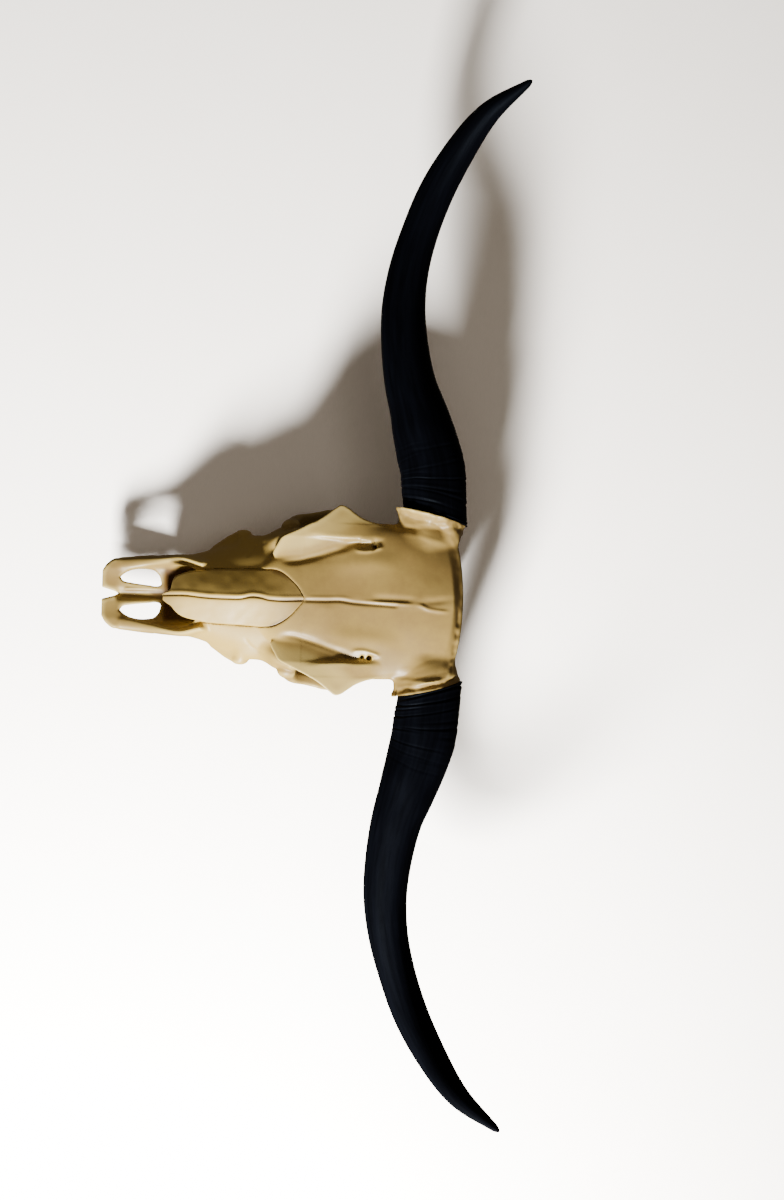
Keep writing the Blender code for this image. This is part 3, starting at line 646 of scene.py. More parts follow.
tooth_start, worn_pits = TOOTH_ROW_X[0], []
row_scale = (TOOTH_ROW_X[1] - TOOTH_ROW_X[0]) / sum(TOOTH_LENGTHS)
for length in TOOTH_LENGTHS:
    lobes = 2 if length > MOLAR_LENGTH else 1
    lobe_length = row_scale * length / lobes
    for lobe in range(lobes):
        middle = tooth_start + lobe_length * (lobe + 0.5)
        along = (middle - TOOTH_ROW_X[0]) / (TOOTH_ROW_X[1] - TOOTH_ROW_X[0])
        y = 0.040 + 0.0165 * math.sin(along * 2.2)
        half_width = 0.0075 + 0.0045 * min(1.0, along * 1.6)
        half.join(limb((
            (middle, y, -0.006, lobe_length * 0.53, half_width * 0.84),
            (middle, y, 0.012, lobe_length * 0.54, half_width * 0.94),
            (middle, y + 0.002, 0.036, lobe_length * 0.54, half_width * 1.05),
        ), side=(1, 0, 0), squareness=3.6, rows=6), 0.0030)
        worn_pits.append(ball((middle, y, -0.0004), (lobe_length * 0.27, half_width * 0.50, 0.0030)))
    for style in np.linspace(-0.46, 0.46, lobes + 1):
        x = tooth_start + row_scale * length * (0.5 + style)
        half.join(limb((
            (x, y + half_width * 0.80, -0.006, 0.0016, 0.0016),
            (x, y + half_width * 0.90, 0.012, 0.0018, 0.0018),
            (x, y + half_width * 1.02, 0.032, 0.0016, 0.0016),
        ), side=(1, 0, 0), rows=6), 0.0016)
    tooth_start += row_scale * length
print(len(worn_pits), "lobes of teeth:", round(time.time() - started, 1), "s")

# %% [markdown]
# ## Hollows
#
# The nose is open in front and runs back into the dark, with the thin blade of the vomer down its
# middle. The palatine fissures go right through, and a nerve's hole opens in the side of the face.
# The nape has a knob in the middle and a hollow on each side. The eye sockets are cones that look
# outward, and the temples are scooped out under the edges of the forehead. Below are the vault of the
# palate, the opening behind it, the hole for the spinal cord and the ear canals.

# %% Hollows of the face and the nape
half.carve(hull((  # nose
    (-0.020, 0.034, 0.100, 0.058, 0.0520),
    (0.0400, 0.0345, 0.110, 0.062, 0.0500),
    (0.0800, 0.0400, 0.118, 0.068, 0.0480),
    (0.1100, 0.0410, 0.112, 0.074, 0.0470),
    (0.1400, 0.0370, 0.106, 0.078, 0.0480),
    (0.1800, 0.0340, 0.108, 0.082, 0.0500),
    (0.2150, 0.0220, 0.104, 0.084, 0.0600),
), 2.6), 0.004)
half.carve(plate(smooth_rows(FISSURE + FISSURE[:1], 60), lambda x, y: 0.085 + 0.0 * x, 0.100, 0.0015),
           0.0035)
for pit in worn_pits:
    half.carve(pit, 0.0010)
half.carve(limb((  # hole in the side of the face
    (0.138, 0.0740, 0.0590, 0.0040, 0.0032),
    (0.152, 0.0620, 0.0600, 0.0040, 0.0034),
    (0.172, 0.0510, 0.0620, 0.0026, 0.0024),
)), 0.0020)
half.join(ball((0.4700, 0.0, 0.130), (0.0075, 0.0060, 0.0260)), 0.008)  # knob of the nape
half.carve(ball((0.4790, 0.0330, 0.126), (0.0130, 0.0210, 0.0220)), 0.008)  # hollow beside it

# %% Eye sockets and temples
eye_x, eye_y, eye_z = ORBIT_CENTRE
half.carve(limb((
    (eye_x - 0.004, eye_y + 0.030, eye_z + 0.003, ORBIT_RADIUS * 1.02, ORBIT_RADIUS * 0.98),
    (eye_x, eye_y, eye_z, ORBIT_RADIUS, ORBIT_RADIUS * 0.96),
    (eye_x + 0.006, eye_y - 0.030, eye_z - 0.003, ORBIT_RADIUS * 0.92, ORBIT_RADIUS * 0.84),
    (eye_x + 0.014, eye_y - 0.058, eye_z - 0.006, ORBIT_RADIUS * 0.52, ORBIT_RADIUS * 0.50),
), side=(1, 0, 0)), 0.004)
half.carve(limb((  # temple
    (0.343, 0.084, 0.119, 0.022, 0.012),
    (0.385, 0.081, 0.122, 0.023, 0.014),
    (0.420, 0.084, 0.127, 0.018, 0.012),
), side=(0, 0, 1)), 0.008)
print("sockets and temples:", round(time.time() - started, 1), "s")

# %% Hollows of the underside, and the vomer
half.carve(hull((  # vault of the palate
    (0.090, 0.026, 0.0370, 0.010, 0.000),
    (0.130, 0.028, 0.0345, 0.010, -0.010),
    (0.170, 0.033, 0.0290, 0.010, -0.010),
    (0.230, 0.038, 0.0290, 0.010, -0.010),
    (0.300, 0.040, 0.0320, 0.010, -0.010),
    (0.330, 0.034, 0.0320, 0.010, -0.010),
), 3.0), 0.006)
half.carve(hull((  # opening behind the palate
    (0.250, 0.012, 0.062, 0.052, 0.042),
    (0.290, 0.0165, 0.064, 0.050, 0.036),
    (0.320, 0.0165, 0.060, 0.040, 0.010),
    (0.370, 0.0160, 0.048, 0.030, 0.000),
), 3.0), 0.004)
half.carve(limb((  # hole for the spinal cord
    (0.410, 0, 0.078, 0.013, 0.012),
    (0.450, 0, 0.074, 0.018, 0.0155),
    (0.500, 0, 0.068, 0.021, 0.018),
)), 0.004)
half.carve(limb((  # ear canal
    (0.418, 0.060, 0.079, 0.0040, 0.0040),
    (0.427, 0.100, 0.090, 0.0050, 0.0050),
), side=(1, 0, 0)), 0.002)
half.join(limb((  # vomer
    (0.0900, 0.0, 0.0580, 0.0150, 0.0020),
    (0.1200, 0.0, 0.0700, 0.0270, 0.0020),
    (0.1700, 0.0, 0.0780, 0.0330, 0.0024),
    (0.2150, 0.0, 0.0820, 0.0330, 0.0030),
), side=(0, 0, 1)), 0.002)
print("hollows:", round(time.time() - started, 1), "s")

# %% [markdown]
# ## Brows
#
# From above, the eye catches the small relief first. Over each orbit lies a brow, a leaf-shaped plate
# that tilts up toward the orbit and steps up once more along a crest. Its outer edge is the thin rim
# of the orbit. A plate fits it, because its outline is crisp and its upper face is a formula.

# %% Brow wings
BROW = (  # x, then y of the inner edge, height there, y of the crest, its step, slope outside it
    (0.2280, 0.0545, 0.1280, 0.0830, 0.0000, 0.100),
    (0.2500, 0.0515, 0.1372, 0.0830, 0.0000, 0.100),
    (0.2700, 0.0535, 0.1438, 0.0830, 0.0004, 0.080),
    (0.2900, 0.0590, 0.1486, 0.0825, 0.0028, 0.000),
    (0.3100, 0.0660, 0.1534, 0.0812, 0.0040, -0.090),
    (0.3300, 0.0715, 0.1591, 0.0800, 0.0040, -0.140),
    (0.3500, 0.0745, 0.1646, 0.0795, 0.0028, -0.240),
    (0.3780, 0.0780, 0.1698, 0.0790, 0.0006, -0.370),
)
BROW_TILT = 0.34  # rise for each metre outward
BROW_THICKNESS, BROW_EDGE = 0.0055, 0.0012
BROW_OUTLINE = (
    (0.2337, 0.0549), (0.2430, 0.0520), (0.2540, 0.0510), (0.2660, 0.0530), (0.2867, 0.0585),
    (0.3050, 0.0648), (0.3200, 0.0695), (0.3350, 0.0730), (0.3480, 0.0748), (0.3620, 0.0770),
    (0.3740, 0.0840), (0.3780, 0.0975), (0.3680, 0.1018), (0.3550, 0.1052), (0.3420, 0.1108),
    (0.3310, 0.1185), (0.3230, 0.1238), (0.3165, 0.1252), (0.3095, 0.1208), (0.2974, 0.1113),
    (0.2880, 0.1048), (0.2776, 0.0995), (0.2577, 0.0895), (0.2477, 0.0848), (0.2415, 0.0810),
    (0.2365, 0.0726), (0.2323, 0.0647), (0.2309, 0.0592), (0.2337, 0.0549))


def brow_height(x, y):
    """Upper face of a brow: it rises outward from its inner edge, steps up at the crest, then falls."""
    rows = np.array(BROW)
    columns = smooth_at(rows[:, 0], rows[:, 1:], x.ravel()).T.astype(np.float32)
    inner, height, crest, step, slope = (column[:, None, None] for column in columns)
    return (height + BROW_TILT * (np.minimum(y, crest) - inner)
            + step * ramp(y, crest - 0.0040, crest + 0.0055) + slope * np.maximum(y - crest, 0.0))


half.join(plate(smooth_rows(BROW_OUTLINE, 110), brow_height, BROW_THICKNESS, BROW_EDGE), 0.0022)
print("brows:", round(time.time() - started, 1), "s")

# %% [markdown]
# ## Grooves and crests of the brows
#
# A groove runs forward from the supraorbital hole along the brow's inner edge, and a lip stands
# beside that hole. They are marks, which both sides share. Each has its path, its width, its height,
# the height past which it counts, and the share of its length over which its ends fade.

# %% Marks that both brows share
mark(((0.2380, 0.0490), (0.2600, 0.0490), (0.2867, 0.0560), (0.3147, 0.0655), (0.3400, 0.0720)),
     0.0040, -0.0021, 0.125, 0.2, both_sides=True)  # groove along the inner edge
mark(((0.3100, 0.0700), (0.3300, 0.0745), (0.3500, 0.0765), (0.3640, 0.0772), (0.3780, 0.0780)),
     0.0048, -0.0034, 0.140, 0.3, both_sides=True)  # and on past the hole
mark(((0.2820, 0.0840), (0.2950, 0.0836), (0.3183, 0.0822), (0.3447, 0.0812)),
     0.0024, 0.0008, 0.140, 0.3, both_sides=True)  # top of the crest
mark(((0.3340, 0.0668), (0.3442, 0.0652), (0.3519, 0.0652), (0.3597, 0.0672), (0.3740, 0.0722)),
     0.0025, 0.0015, 0.140, 0.2, both_sides=True)  # lip inside the hole
mark(((0.1950, 0.0520), (0.2080, 0.0669), (0.2260, 0.0770)),
     0.0022, -0.0006, 0.085, both_sides=True)  # suture in front of the eye
mark(((0.2950, 0.0410), (0.3150, 0.0460), (0.3400, 0.0500), (0.3700, 0.0520), (0.4050, 0.0520)),
     0.0115, 0.0019, 0.130, 0.45, both_sides=True)  # broad swell of the forehead
print(len(MARKS), "marks so far")

# %% [markdown]
# ## Both halves, and the roof of the forehead
#
# The left half mirrors the right one, so the whole lattice is the half and its mirror image side by
# side. The forehead is not flat across: a low ridge like a roof runs along the midline in front, and
# behind the eyes the whole shield falls off to both sides. Both are heights added to the field.

# %% Join the halves
across_y = half.lines[1]
whole = Field(
    [half.lines[0], np.concatenate([-across_y[:0:-1], across_y]), half.lines[2]],
    np.concatenate([half.values[:, :0:-1], half.values], axis=1))
del half
print("whole lattice:", whole.values.shape, round(time.time() - started, 1), "s")

# %% Roof of the forehead
ROOF_HALF_WIDTH, FALL_CENTRE = 0.058, 0.082  # |y| where the low roof ends, and where the fall is nought
FOREHEAD_ROOF = (  # x, slope of a low roof along the midline, slope of a broad one over the width
    (0.2250, 0.00, 0.000), (0.2500, 0.11, 0.000), (0.2700, 0.13, 0.000), (0.2900, 0.11, 0.000),
    (0.3100, 0.06, 0.000), (0.3300, 0.03, 0.000), (0.3500, 0.03, 0.010), (0.3750, 0.02, 0.055),
    (0.4000, 0.00, 0.110), (0.4300, 0.00, 0.140), (0.4900, 0.00, 0.140))
spans, x, y, z = whole.window((0.225, -0.104, 0.118), (0.494, 0.104, 0.204))
table = np.array(FOREHEAD_ROOF)
low_roof, fall = smooth_at(table[:, 0], table[:, 1:], x.ravel()).T.astype(np.float32)[:, :, None, None]
out = np.hypot(y, 0.008)
rise = low_roof * np.maximum(ROOF_HALF_WIDTH - out, 0.0) * ramp(ROOF_HALF_WIDTH + 0.004 - out, 0.0, 0.016)
rise = rise + fall * (FALL_CENTRE - out) * (1 - ramp(np.abs(y), 0.096, 0.104))
poll_edge = x + POLL_BOW * y * y
whole.raise_by(spans, rise * ramp(z, 0.118, 0.130) * (1 - ramp(poll_edge, 0.462, 0.4765)))
print("most the roof adds:", round(float(rise.max()) * 1000, 1), "mm")

# %% [markdown]
# ## What differs between the two sides
#
# A few marks of the real object don't mirror. The raised seam wanders a little to either side and
# forks before the poll. The left supraorbital hole is double with a thin bridge, and the right one is
# a slit. They are worked in now that the halves are joined.

# %% Marks along the midline
mark(((0.2690, -0.0016), (0.3000, -0.0012), (0.3210, -0.0006), (0.3330, -0.0024), (0.3600, -0.0038),
      (0.3950, -0.0056)), 0.0024, -0.0019, 0.130, 0.06, 36)  # groove beside the seam
mark(((0.2690, 0.0024), (0.3000, 0.0028), (0.3210, 0.0034), (0.3400, 0.0012)),
     0.0024, 0.0007, 0.130)  # the raised seam, in front and farther back
mark(((0.3400, 0.0002), (0.3600, -0.0010), (0.3892, -0.0020), (0.4197, -0.0026)),
     0.0023, 0.0013, 0.150, 0.3)
mark(((0.3550, 0.0040), (0.3950, 0.0034), (0.4200, 0.0030)),
     0.0045, -0.0015, 0.150)  # hollow on its right
mark(((0.4100, -0.0030), (0.4197, -0.0034), (0.4294, -0.0076), (0.4420, -0.0098), (0.4620, -0.0107)),
     0.0026, 0.0014, 0.150, 0.25)  # left branch of its fork
mark(((0.4100, -0.0010), (0.4391, 0.0018), (0.4680, 0.0055)),
     0.0042, -0.0013, 0.150, 0.45)  # hollow along the right branch
mark(((0.0180, -0.0006), (0.0550, -0.0004), (0.1000, -0.0002)),
     0.0072, -0.0062, 0.044, 0.1)  # gutter between the bars of the premaxillae
mark(((0.0300, 0.0058), (0.0550, 0.0056), (0.0860, 0.0054)),
     0.0026, 0.0030, 0.044, 0.1)  # top of the right bar
print(len(MARKS), "marks so far")

# %% Holes over the eyes
for middle_x, middle_y, across_it in ((0.3500, -0.0728, 0.0024), (0.3590, -0.0738, 0.0033)):
    whole.carve(limb((
        (middle_x, middle_y, 0.1760, across_it, across_it),
        (middle_x, middle_y - 0.001, 0.1640, across_it, across_it),
        (middle_x - 0.004, middle_y - 0.004, 0.1520, 0.0022, 0.0022),
    ), side=(1, 0, 0)), 0.0020)
whole.carve(limb((
    (0.3560, 0.0695, 0.1720, 0.0030, 0.0024),
    (0.3620, 0.0708, 0.1670, 0.0030, 0.0028),
    (0.3690, 0.0722, 0.1640, 0.0030, 0.0028),
)), 0.0025)
mark(((0.3400, 0.0792), (0.3501, 0.0792), (0.3620, 0.0780)),
     0.0032, 0.0020, 0.140)  # lip outside the right hole
print("holes:", round(time.time() - started, 1), "s")

# %% Faint unevenness of the forehead
for side in (1, -1):
    near, far = sorted((side * 0.002, side * 0.10))
    spans, x, y, z = whole.window((0.27, near, 0.13), (0.47, far, 0.2))
    whole.raise_by(spans, 0.0006 * lumps(x, y, z * 0.2, 0.026, 30 + side) * ramp(side * y, 0.004, 0.012))
print("forehead:", round(time.time() - started, 1), "s")

# %% [markdown]
# ## Rough bone at the collars and the nape
#
# The bone is smooth on the forehead and rough where something held on to it: lumpy round the
# collars of the horns, and pitted over the nape where the neck muscles pulled. Random lumps of two
# sizes are added to the field there, faded in by a mask. A lip stands on each collar's rim with a
# valley behind it, deeper on the right. The left collar is lower, and the corner before it higher.

# %% Roughen the collars
COLLAR_ROUGHNESS = {1: 1.0, -1: 0.6}  # right and left
LIP_HEIGHT = 0.0021
COARSE_LUMPS, FINE_LUMPS = 0.0018, 0.0008  # their heights


def past_collar(side, x, y):
    """How far out a point lies from the collar's face, which leans inward toward the poll."""
    return side * y + COLLAR_LEAN * (x - COLLAR_FACE[0]) - COLLAR_FACE[1]


def valley_depth(side, x):
    """Depth of the valley behind the lip. It gets shallower toward the poll, to almost nought on the
    left."""
    if side > 0:
        return 0.0078 * (1.1 - 0.3 * ramp(x, 0.410, 0.450))
    return 0.0060 * (1.1 - ramp(x, 0.400, 0.430))


for side in (1, -1):
    near, far = sorted((side * 0.058, side * 0.135))
    spans, x, y, z = whole.window((0.380, near, 0.100), (0.494, far, 0.204))
    out = past_collar(side, x, y)
    rough = ramp(out, -0.016, -0.006) * COLLAR_ROUGHNESS[side]
    whole.raise_by(spans, rough * (COARSE_LUMPS * lumps(x, y, z, 0.0090, 3)
                                   + FINE_LUMPS * lumps(x, y, z, 0.0042, 4)))
    lip = LIP_HEIGHT * np.exp(-((out + 0.0010) / 0.0034) ** 2)
    lip = lip * (1 - 0.8 * ramp(x, 0.435, 0.465)) * (1 + 0.5 * lumps(x, y, z, 0.010, 8))
    neck = ramp(out, -0.0340, -0.0125) * (1 - ramp(out, -0.0105, -0.0015)) * ramp(z, 0.162, 0.173)
    neck = neck * ramp(side * y, 0.062, 0.084) * (1 - ramp(x + POLL_BOW * y * y, 0.458, 0.472))
    valley = valley_depth(side, x) * (1 + 0.25 * lumps(x, y, z, 0.014, 5))
    whole.raise_by(spans, lip - valley * neck)
stroke(whole, ((0.3870, 0.1000, 0.1680), (0.3980, 0.1070, 0.1680)), 0.0046, -0.0045)
print("collars:", round(time.time() - started, 1), "s")

# %% Lower the left collar, and raise the corner before it
COLLAR_DROP, CORNER_RISE = 0.0048, 0.0022

spans, x, y, z = whole.window((0.395, -0.135, 0.150), (0.494, -0.060, 0.204))
out = past_collar(-1, x, y)
corner = ramp(-y, 0.064, 0.088) * (1 - ramp(out, -0.0120, -0.0060)) * ramp(x, 0.405, 0.430)
corner = corner * (1 - ramp(x + POLL_BOW * y * y, 0.462, 0.476))
change = CORNER_RISE * corner - COLLAR_DROP * ramp(out, -0.0120, -0.0050)
whole.raise_by(spans, change * ramp(z, 0.160, 0.174))
print("left collar lower by", COLLAR_DROP * 1000, "mm")

# %% Roughen the nape and the poll's edge
POLL_EDGE = 0.4745  # x of the poll's edge on the midline

spans, x, y, z = whole.window((0.425, -0.11, 0.04), (0.494, 0.11, 0.186))
rough = ramp(x, 0.448, 0.466) * (1 - ramp(z, 0.160, 0.172))
whole.raise_by(spans, rough * (0.0012 * lumps(x, y, z, 0.0095, 6) + 0.0006 * lumps(x, y, z, 0.0045, 7)))
spans, x, y, z = whole.window((0.440, -0.105, 0.150), (0.494, 0.105, 0.190))
edge = x + POLL_BOW * y * y - POLL_EDGE
beads = np.exp(-(edge / 0.0035) ** 2) * (0.35 + 0.65 * ramp(y, 0.012, -0.020))
whole.raise_by(spans, beads * (0.0005 + 0.0019 * lumps(x, y, z * 0.4, 0.0075, 9)))
print("rough bone:", round(time.time() - started, 1), "s")

# %% [markdown]
# ## Nasal bones and their seats
#
# The two nasal bones lie side by side down the middle of the nose, like the two sides of a low roof.
# Their outline is a width that varies along x, and their tips differ, as on the real object. The
# same functions give the plate itself and the seat that is cut for it, so the plate is sure to fit.
# A shallow groove follows the seat's outer edge.

# %% Outline and roof of the nasal bones
NASAL_WIDTHS = {  # x and the distance from the midline to the outer edge, for the right and the left
    1: ((0.0878, 0.0014), (0.0925, 0.0046), (0.0966, 0.0070), (0.0984, 0.0110), (0.0992, 0.0165),
        (0.1010, 0.0215), (0.1042, 0.0254), (0.1100, 0.0285), (0.1173, 0.0312), (0.1300, 0.0338),
        (0.1420, 0.0352), (0.1700, 0.0368), (0.2000, 0.0374), (0.2200, 0.0378), (0.2320, 0.0382),
        (0.2410, 0.0358), (0.2540, 0.0262), (0.2660, 0.0125), (0.2714, 0.0030)),
    -1: ((0.0880, 0.0071), (0.0935, 0.0112), (0.0989, 0.0148), (0.1026, 0.0195), (0.1058, 0.0228),
         (0.1110, 0.0266), (0.1179, 0.0295), (0.1312, 0.0325), (0.1420, 0.0348), (0.1700, 0.0368),
         (0.2000, 0.0377), (0.2200, 0.0386), (0.2320, 0.0376), (0.2440, 0.0316), (0.2551, 0.0226),
         (0.2645, 0.0116), (0.2714, 0.0028)),
}
NASAL_ROOF = (  # x, height of the ridge, slope of the roof's sides
    (0.0878, 0.1045, 0.40), (0.0990, 0.1092, 0.46), (0.1200, 0.1165, 0.50), (0.1420, 0.1232, 0.53),
    (0.1700, 0.1312, 0.54), (0.2000, 0.1395, 0.54), (0.2200, 0.1450, 0.51), (0.2330, 0.1488, 0.46),
    (0.2440, 0.1514, 0.40), (0.2545, 0.1528, 0.33), (0.2650, 0.1538, 0.25), (0.2714, 0.1543, 0.21))
RIDGE_ROUNDING = 0.006  # over how far from the midline the roof's ridge is rounded


def nasal_width(x, side):
    """Smooth curve through the stations of one side."""
    stations = np.array(NASAL_WIDTHS[side])
    return smooth_at(stations[:, 0], stations[:, 1], x)[:, 0]


def nasal_top(x, y):
    """Height of the roof: ridge - slope * (sqrt(y^2 + r^2) - r), where r rounds the ridge."""
    rows = np.array(NASAL_ROOF)
    columns = smooth_at(rows[:, 0], rows[:, 1:], x).T
    ridge, slope = (column.reshape(-1, *[1] * (y.ndim - 1)) for column in columns)
    return ridge - slope * (np.sqrt(y * y + RIDGE_ROUNDING ** 2) - RIDGE_ROUNDING)


def nasal_thickness(x):
    """Thin at the tips, then a smooth step up to the full thickness."""
    return 0.0030 + 0.0035 * ramp(x, 0.118, 0.160)


print("length of the nasal bones:", NASAL_ROOF[-1][0] - NASAL_ROOF[0][0], "m")


# %% Put the nasal bones into the field
def nasal_form(gap, filled):
    """The room within the outline and above the underside, both moved out by gap; filled if it ends
    at the roof, open upward if not."""
    def form(field):
        first, last = NASAL_WIDTHS[1][0][0], NASAL_WIDTHS[1][-1][0]
        spans, x, y, z = field.window((first - 0.004, -0.05, 0.085), (last + 0.004, 0.05, 0.19))
        flat_x = x.ravel().astype(float)
        widths = (nasal_width(flat_x, side)[:, None, None] for side in (1, -1))
        beside = np.abs(y) - np.where(y >= 0, *widths) - gap
        top = nasal_top(flat_x, y.astype(float))
        under = top - nasal_thickness(x) - gap - z
        past = np.maximum(first - gap - x, x - last - gap)
        distance = np.maximum(np.maximum(beside, under), past)
        return spans, (np.maximum(distance, z - top) if filled else distance).astype(np.float32)

    return form


for side in (1, -1):
    joint = [(x, side * width) for x, width in NASAL_WIDTHS[side] if x > 0.139]
    mark(joint, 0.0020, -0.0004, 0.098, 0.0, 40)
whole.join(nasal_form(0.0, True), 0.0006)
print("nasal bones in the field:", round(time.time() - started, 1), "s")

# %% [markdown]
# ## How much bone is round a point
#
# The finish paints shade into the hollows and a highlight onto the ridges. The share of bone in a
# small cube round each point tells them apart: one half on a flat, more in a hollow, less on a ridge.
# Sliding sums along the three axes give it for the whole lattice at once. A small cube picks out the
# edges.
# Then the nasal bones, which have counted so far, leave their seats.

# %% Share of bone in two cubes
BROAD_CUBE, FINE_CUBE = 13, 5  # lattice steps across the two cubes


def sliding_mean(values, axis, count):
    """Mean of count neighbours along an axis: a running total, less the running total count earlier."""
    pad = [(0, 0)] * 3
    pad[axis] = (count // 2 + 1, count // 2)
    total = np.cumsum(np.pad(values, pad, mode="edge"), axis=axis, dtype=np.float32)
    ahead = [slice(None)] * 3
    behind = [slice(None)] * 3
    ahead[axis], behind[axis] = slice(count, None), slice(None, -count)
    return (total[tuple(ahead)] - total[tuple(behind)]) / count


def bone_share(field, cube):
    """Share of bone in a cube round each lattice point; a ramp over one step softens the surface."""
    share = np.clip(0.5 - field.values / STEP, 0.0, 1.0)
    for axis in range(3):
        share = sliding_mean(share, axis, cube)
    return share


marked = Field(whole.lines, whole.values.copy())  # the finest marks count here too
mark_field(marked)
crowding = {"crowding": bone_share(marked, BROAD_CUBE), "edges": bone_share(marked, FINE_CUBE)}
del marked
whole.carve(nasal_form(NASAL_SEAM, False), 0.0006)
print("share of bone:", list(crowding), round(time.time() - started, 1), "s")

# %% [markdown]
# ## A skin on the field
#
# Where the field changes sign inside a cell of the lattice, the skin passes through it. Each such
# cell gets one vertex, at the mean of the places where its edges cross zero, and each lattice edge
# that crosses zero gets a quad between the four cells round it. This is known as surface nets. A few
# rounds of smoothing in and out again take away the last of the grid without shrinking the bone.

# %% Skin
CELL_CORNERS = np.array([(i, j, k) for i in (0, 1) for j in (0, 1) for k in (0, 1)])
CELL_EDGES = [(a, b) for a in range(8) for b in range(a + 1, 8)
              if np.abs(CELL_CORNERS[a] - CELL_CORNERS[b]).sum() == 1]


def skin(field, low, high):
    """Vertices and quads of the surface where the field is zero, closed at the window's sides."""
    spans = field.window(low, high)[0]
    values = field.values[spans].copy()
    for axis in range(3):
        for end in (0, -1):
            wall = [slice(None)] * 3
            wall[axis] = end
            values[tuple(wall)] = np.maximum(values[tuple(wall)], STEP)
    inside = values < 0
    nx, ny, nz = values.shape
    filled = sum(inside[i:nx - 1 + i, j:ny - 1 + j, k:nz - 1 + k].astype(np.int8)
                 for i, j, k in CELL_CORNERS)
    cells = np.argwhere((filled > 0) & (filled < 8))
    number = np.full((nx - 1, ny - 1, nz - 1), -1, np.int32)
    number[tuple(cells.T)] = np.arange(len(cells))
    at = np.stack([values[tuple((cells + corner).T)] for corner in CELL_CORNERS], axis=1)
    place, count = np.zeros((len(cells), 3)), np.zeros(len(cells))
    for a, b in CELL_EDGES:
        crosses = (at[:, a] < 0) != (at[:, b] < 0)
        share = at[crosses, a] / (at[crosses, a] - at[crosses, b])
        place[crosses] += CELL_CORNERS[a] + share[:, None] * (CELL_CORNERS[b] - CELL_CORNERS[a])
        count[crosses] += 1
    start = np.array([line[span.start] for line, span in zip(field.lines, spans)])
    vertices = start + (cells + place / count[:, None]) * STEP
    quads = []
    for axis in range(3):
        second, third = (axis + 1) % 3, (axis + 2) % 3
        near = np.take(inside, range(inside.shape[axis] - 1), axis)
        far = np.take(inside, range(1, inside.shape[axis]), axis)
        edges = np.argwhere(near != far)
        outward = near[tuple(edges.T)]
        step = np.eye(3, dtype=int)
        round_edge = [edges, edges - step[second], edges - step[second] - step[third], edges - step[third]]
        faces = np.stack([number[tuple(cell.T)] for cell in round_edge], axis=1)
        faces[~outward] = faces[~outward, ::-1]
        quads.append(faces)
    return vertices, np.concatenate(quads)


def neighbours_mean(vertices, quads):
    """Mean place of each vertex's neighbours along the quads' sides."""
    a, b = quads.ravel(), np.roll(quads, -1, axis=1).ravel()
    ends, others = np.concatenate([a, b]), np.concatenate([b, a])
    count = np.bincount(ends, minlength=len(vertices))
    return np.column_stack([
        np.bincount(ends, weights=vertices[others, axis], minlength=len(vertices)) / count
        for axis in range(3)])


def smoothed(vertices, quads, rounds=5):
    """Moves each vertex half way to its neighbours' mean, then a little more than that back out."""
    for _ in range(rounds):
        for share in (0.50, -0.52):
            vertices = vertices + share * (neighbours_mean(vertices, quads) - vertices)
    return vertices


def put_mesh(name, vertices, faces):
    """A mesh object at the origin from an (n, 3) array and an (m, corners) array of vertex numbers."""
    mesh = bpy.data.meshes.new(name)
    mesh.vertices.add(len(vertices))
    mesh.vertices.foreach_set("co", np.asarray(vertices, np.float32).ravel())
    mesh.loops.add(faces.size)
    mesh.loops.foreach_set("vertex_index", np.asarray(faces, np.int32).ravel())
    mesh.polygons.add(len(faces))
    mesh.polygons.foreach_set("loop_start", np.arange(0, faces.size, faces.shape[1], dtype=np.int32))
    mesh.update(calc_edges=True)
    item = bpy.data.objects.new(name, mesh)
    bpy.context.scene.collection.objects.link(item)
    return item


def row_frame(points):
    """From the skull's own measures to the frame's coordinates."""
    return np.asarray(points) + (MEASURE_START_X, 0.0, 0.0)


print("skin tools ready")

# %% [markdown]
# ## Parting the skin
#
# The bones of a real skull meet at sutures. The cast has them closed, so the pieces meet along
# hairlines: a block larger than the skull, with one face on the suture's plane, cuts the skin, and
# the cut closes itself with a flat face. Each bone is skinned only where it lies, with room to spare,
# and the blocks trim it.

# %% Cutting tools
BLOCK_SIZE = 1.4  # metres, more than any span of the skull
BLOCK_SIDES = np.array([(0, 1, 3, 2), (4, 6, 7, 5), (0, 4, 5, 1), (2, 3, 7, 6), (0, 2, 6, 4), (1, 5, 7, 3)])


def beyond(point, normal, gap=0.0):
    """A large block on the side of a plane that its normal points to, starting gap past the plane."""
    corners = (CELL_CORNERS - (0.0, 0.5, 0.5)) * BLOCK_SIZE
    normal = Vector(normal).normalized()
    turn = np.array(Vector((1, 0, 0)).rotation_difference(normal).to_matrix())
    places = corners @ turn.T + point + np.array(normal) * gap
    return put_mesh("cutting_block", row_frame(places), BLOCK_SIDES)


def box_block(low, high):
    """A block between two corners."""
    low, high = np.array(low), np.array(high)
    return put_mesh("cutting_block", row_frame(CELL_CORNERS * (high - low) + low), BLOCK_SIDES)


def trimmed(item, kept=(), removed=()):
    """Cuts an object with blocks, and leaves the result as its plain mesh."""
    for operation, blocks in (("INTERSECT", kept), ("DIFFERENCE", removed)):
        for block in blocks:
            cut = item.modifiers.new("cut", "BOOLEAN")
            cut.operation, cut.solver, cut.object = operation, "MANIFOLD", block
    bpy.context.view_layer.update()
    seen = item.evaluated_get(bpy.context.evaluated_depsgraph_get())
    mesh = bpy.data.meshes.new_from_object(seen)
    item.modifiers.clear()
    item.data = mesh
    for block in {*kept, *removed}:
        bpy.data.objects.remove(block)
    return item


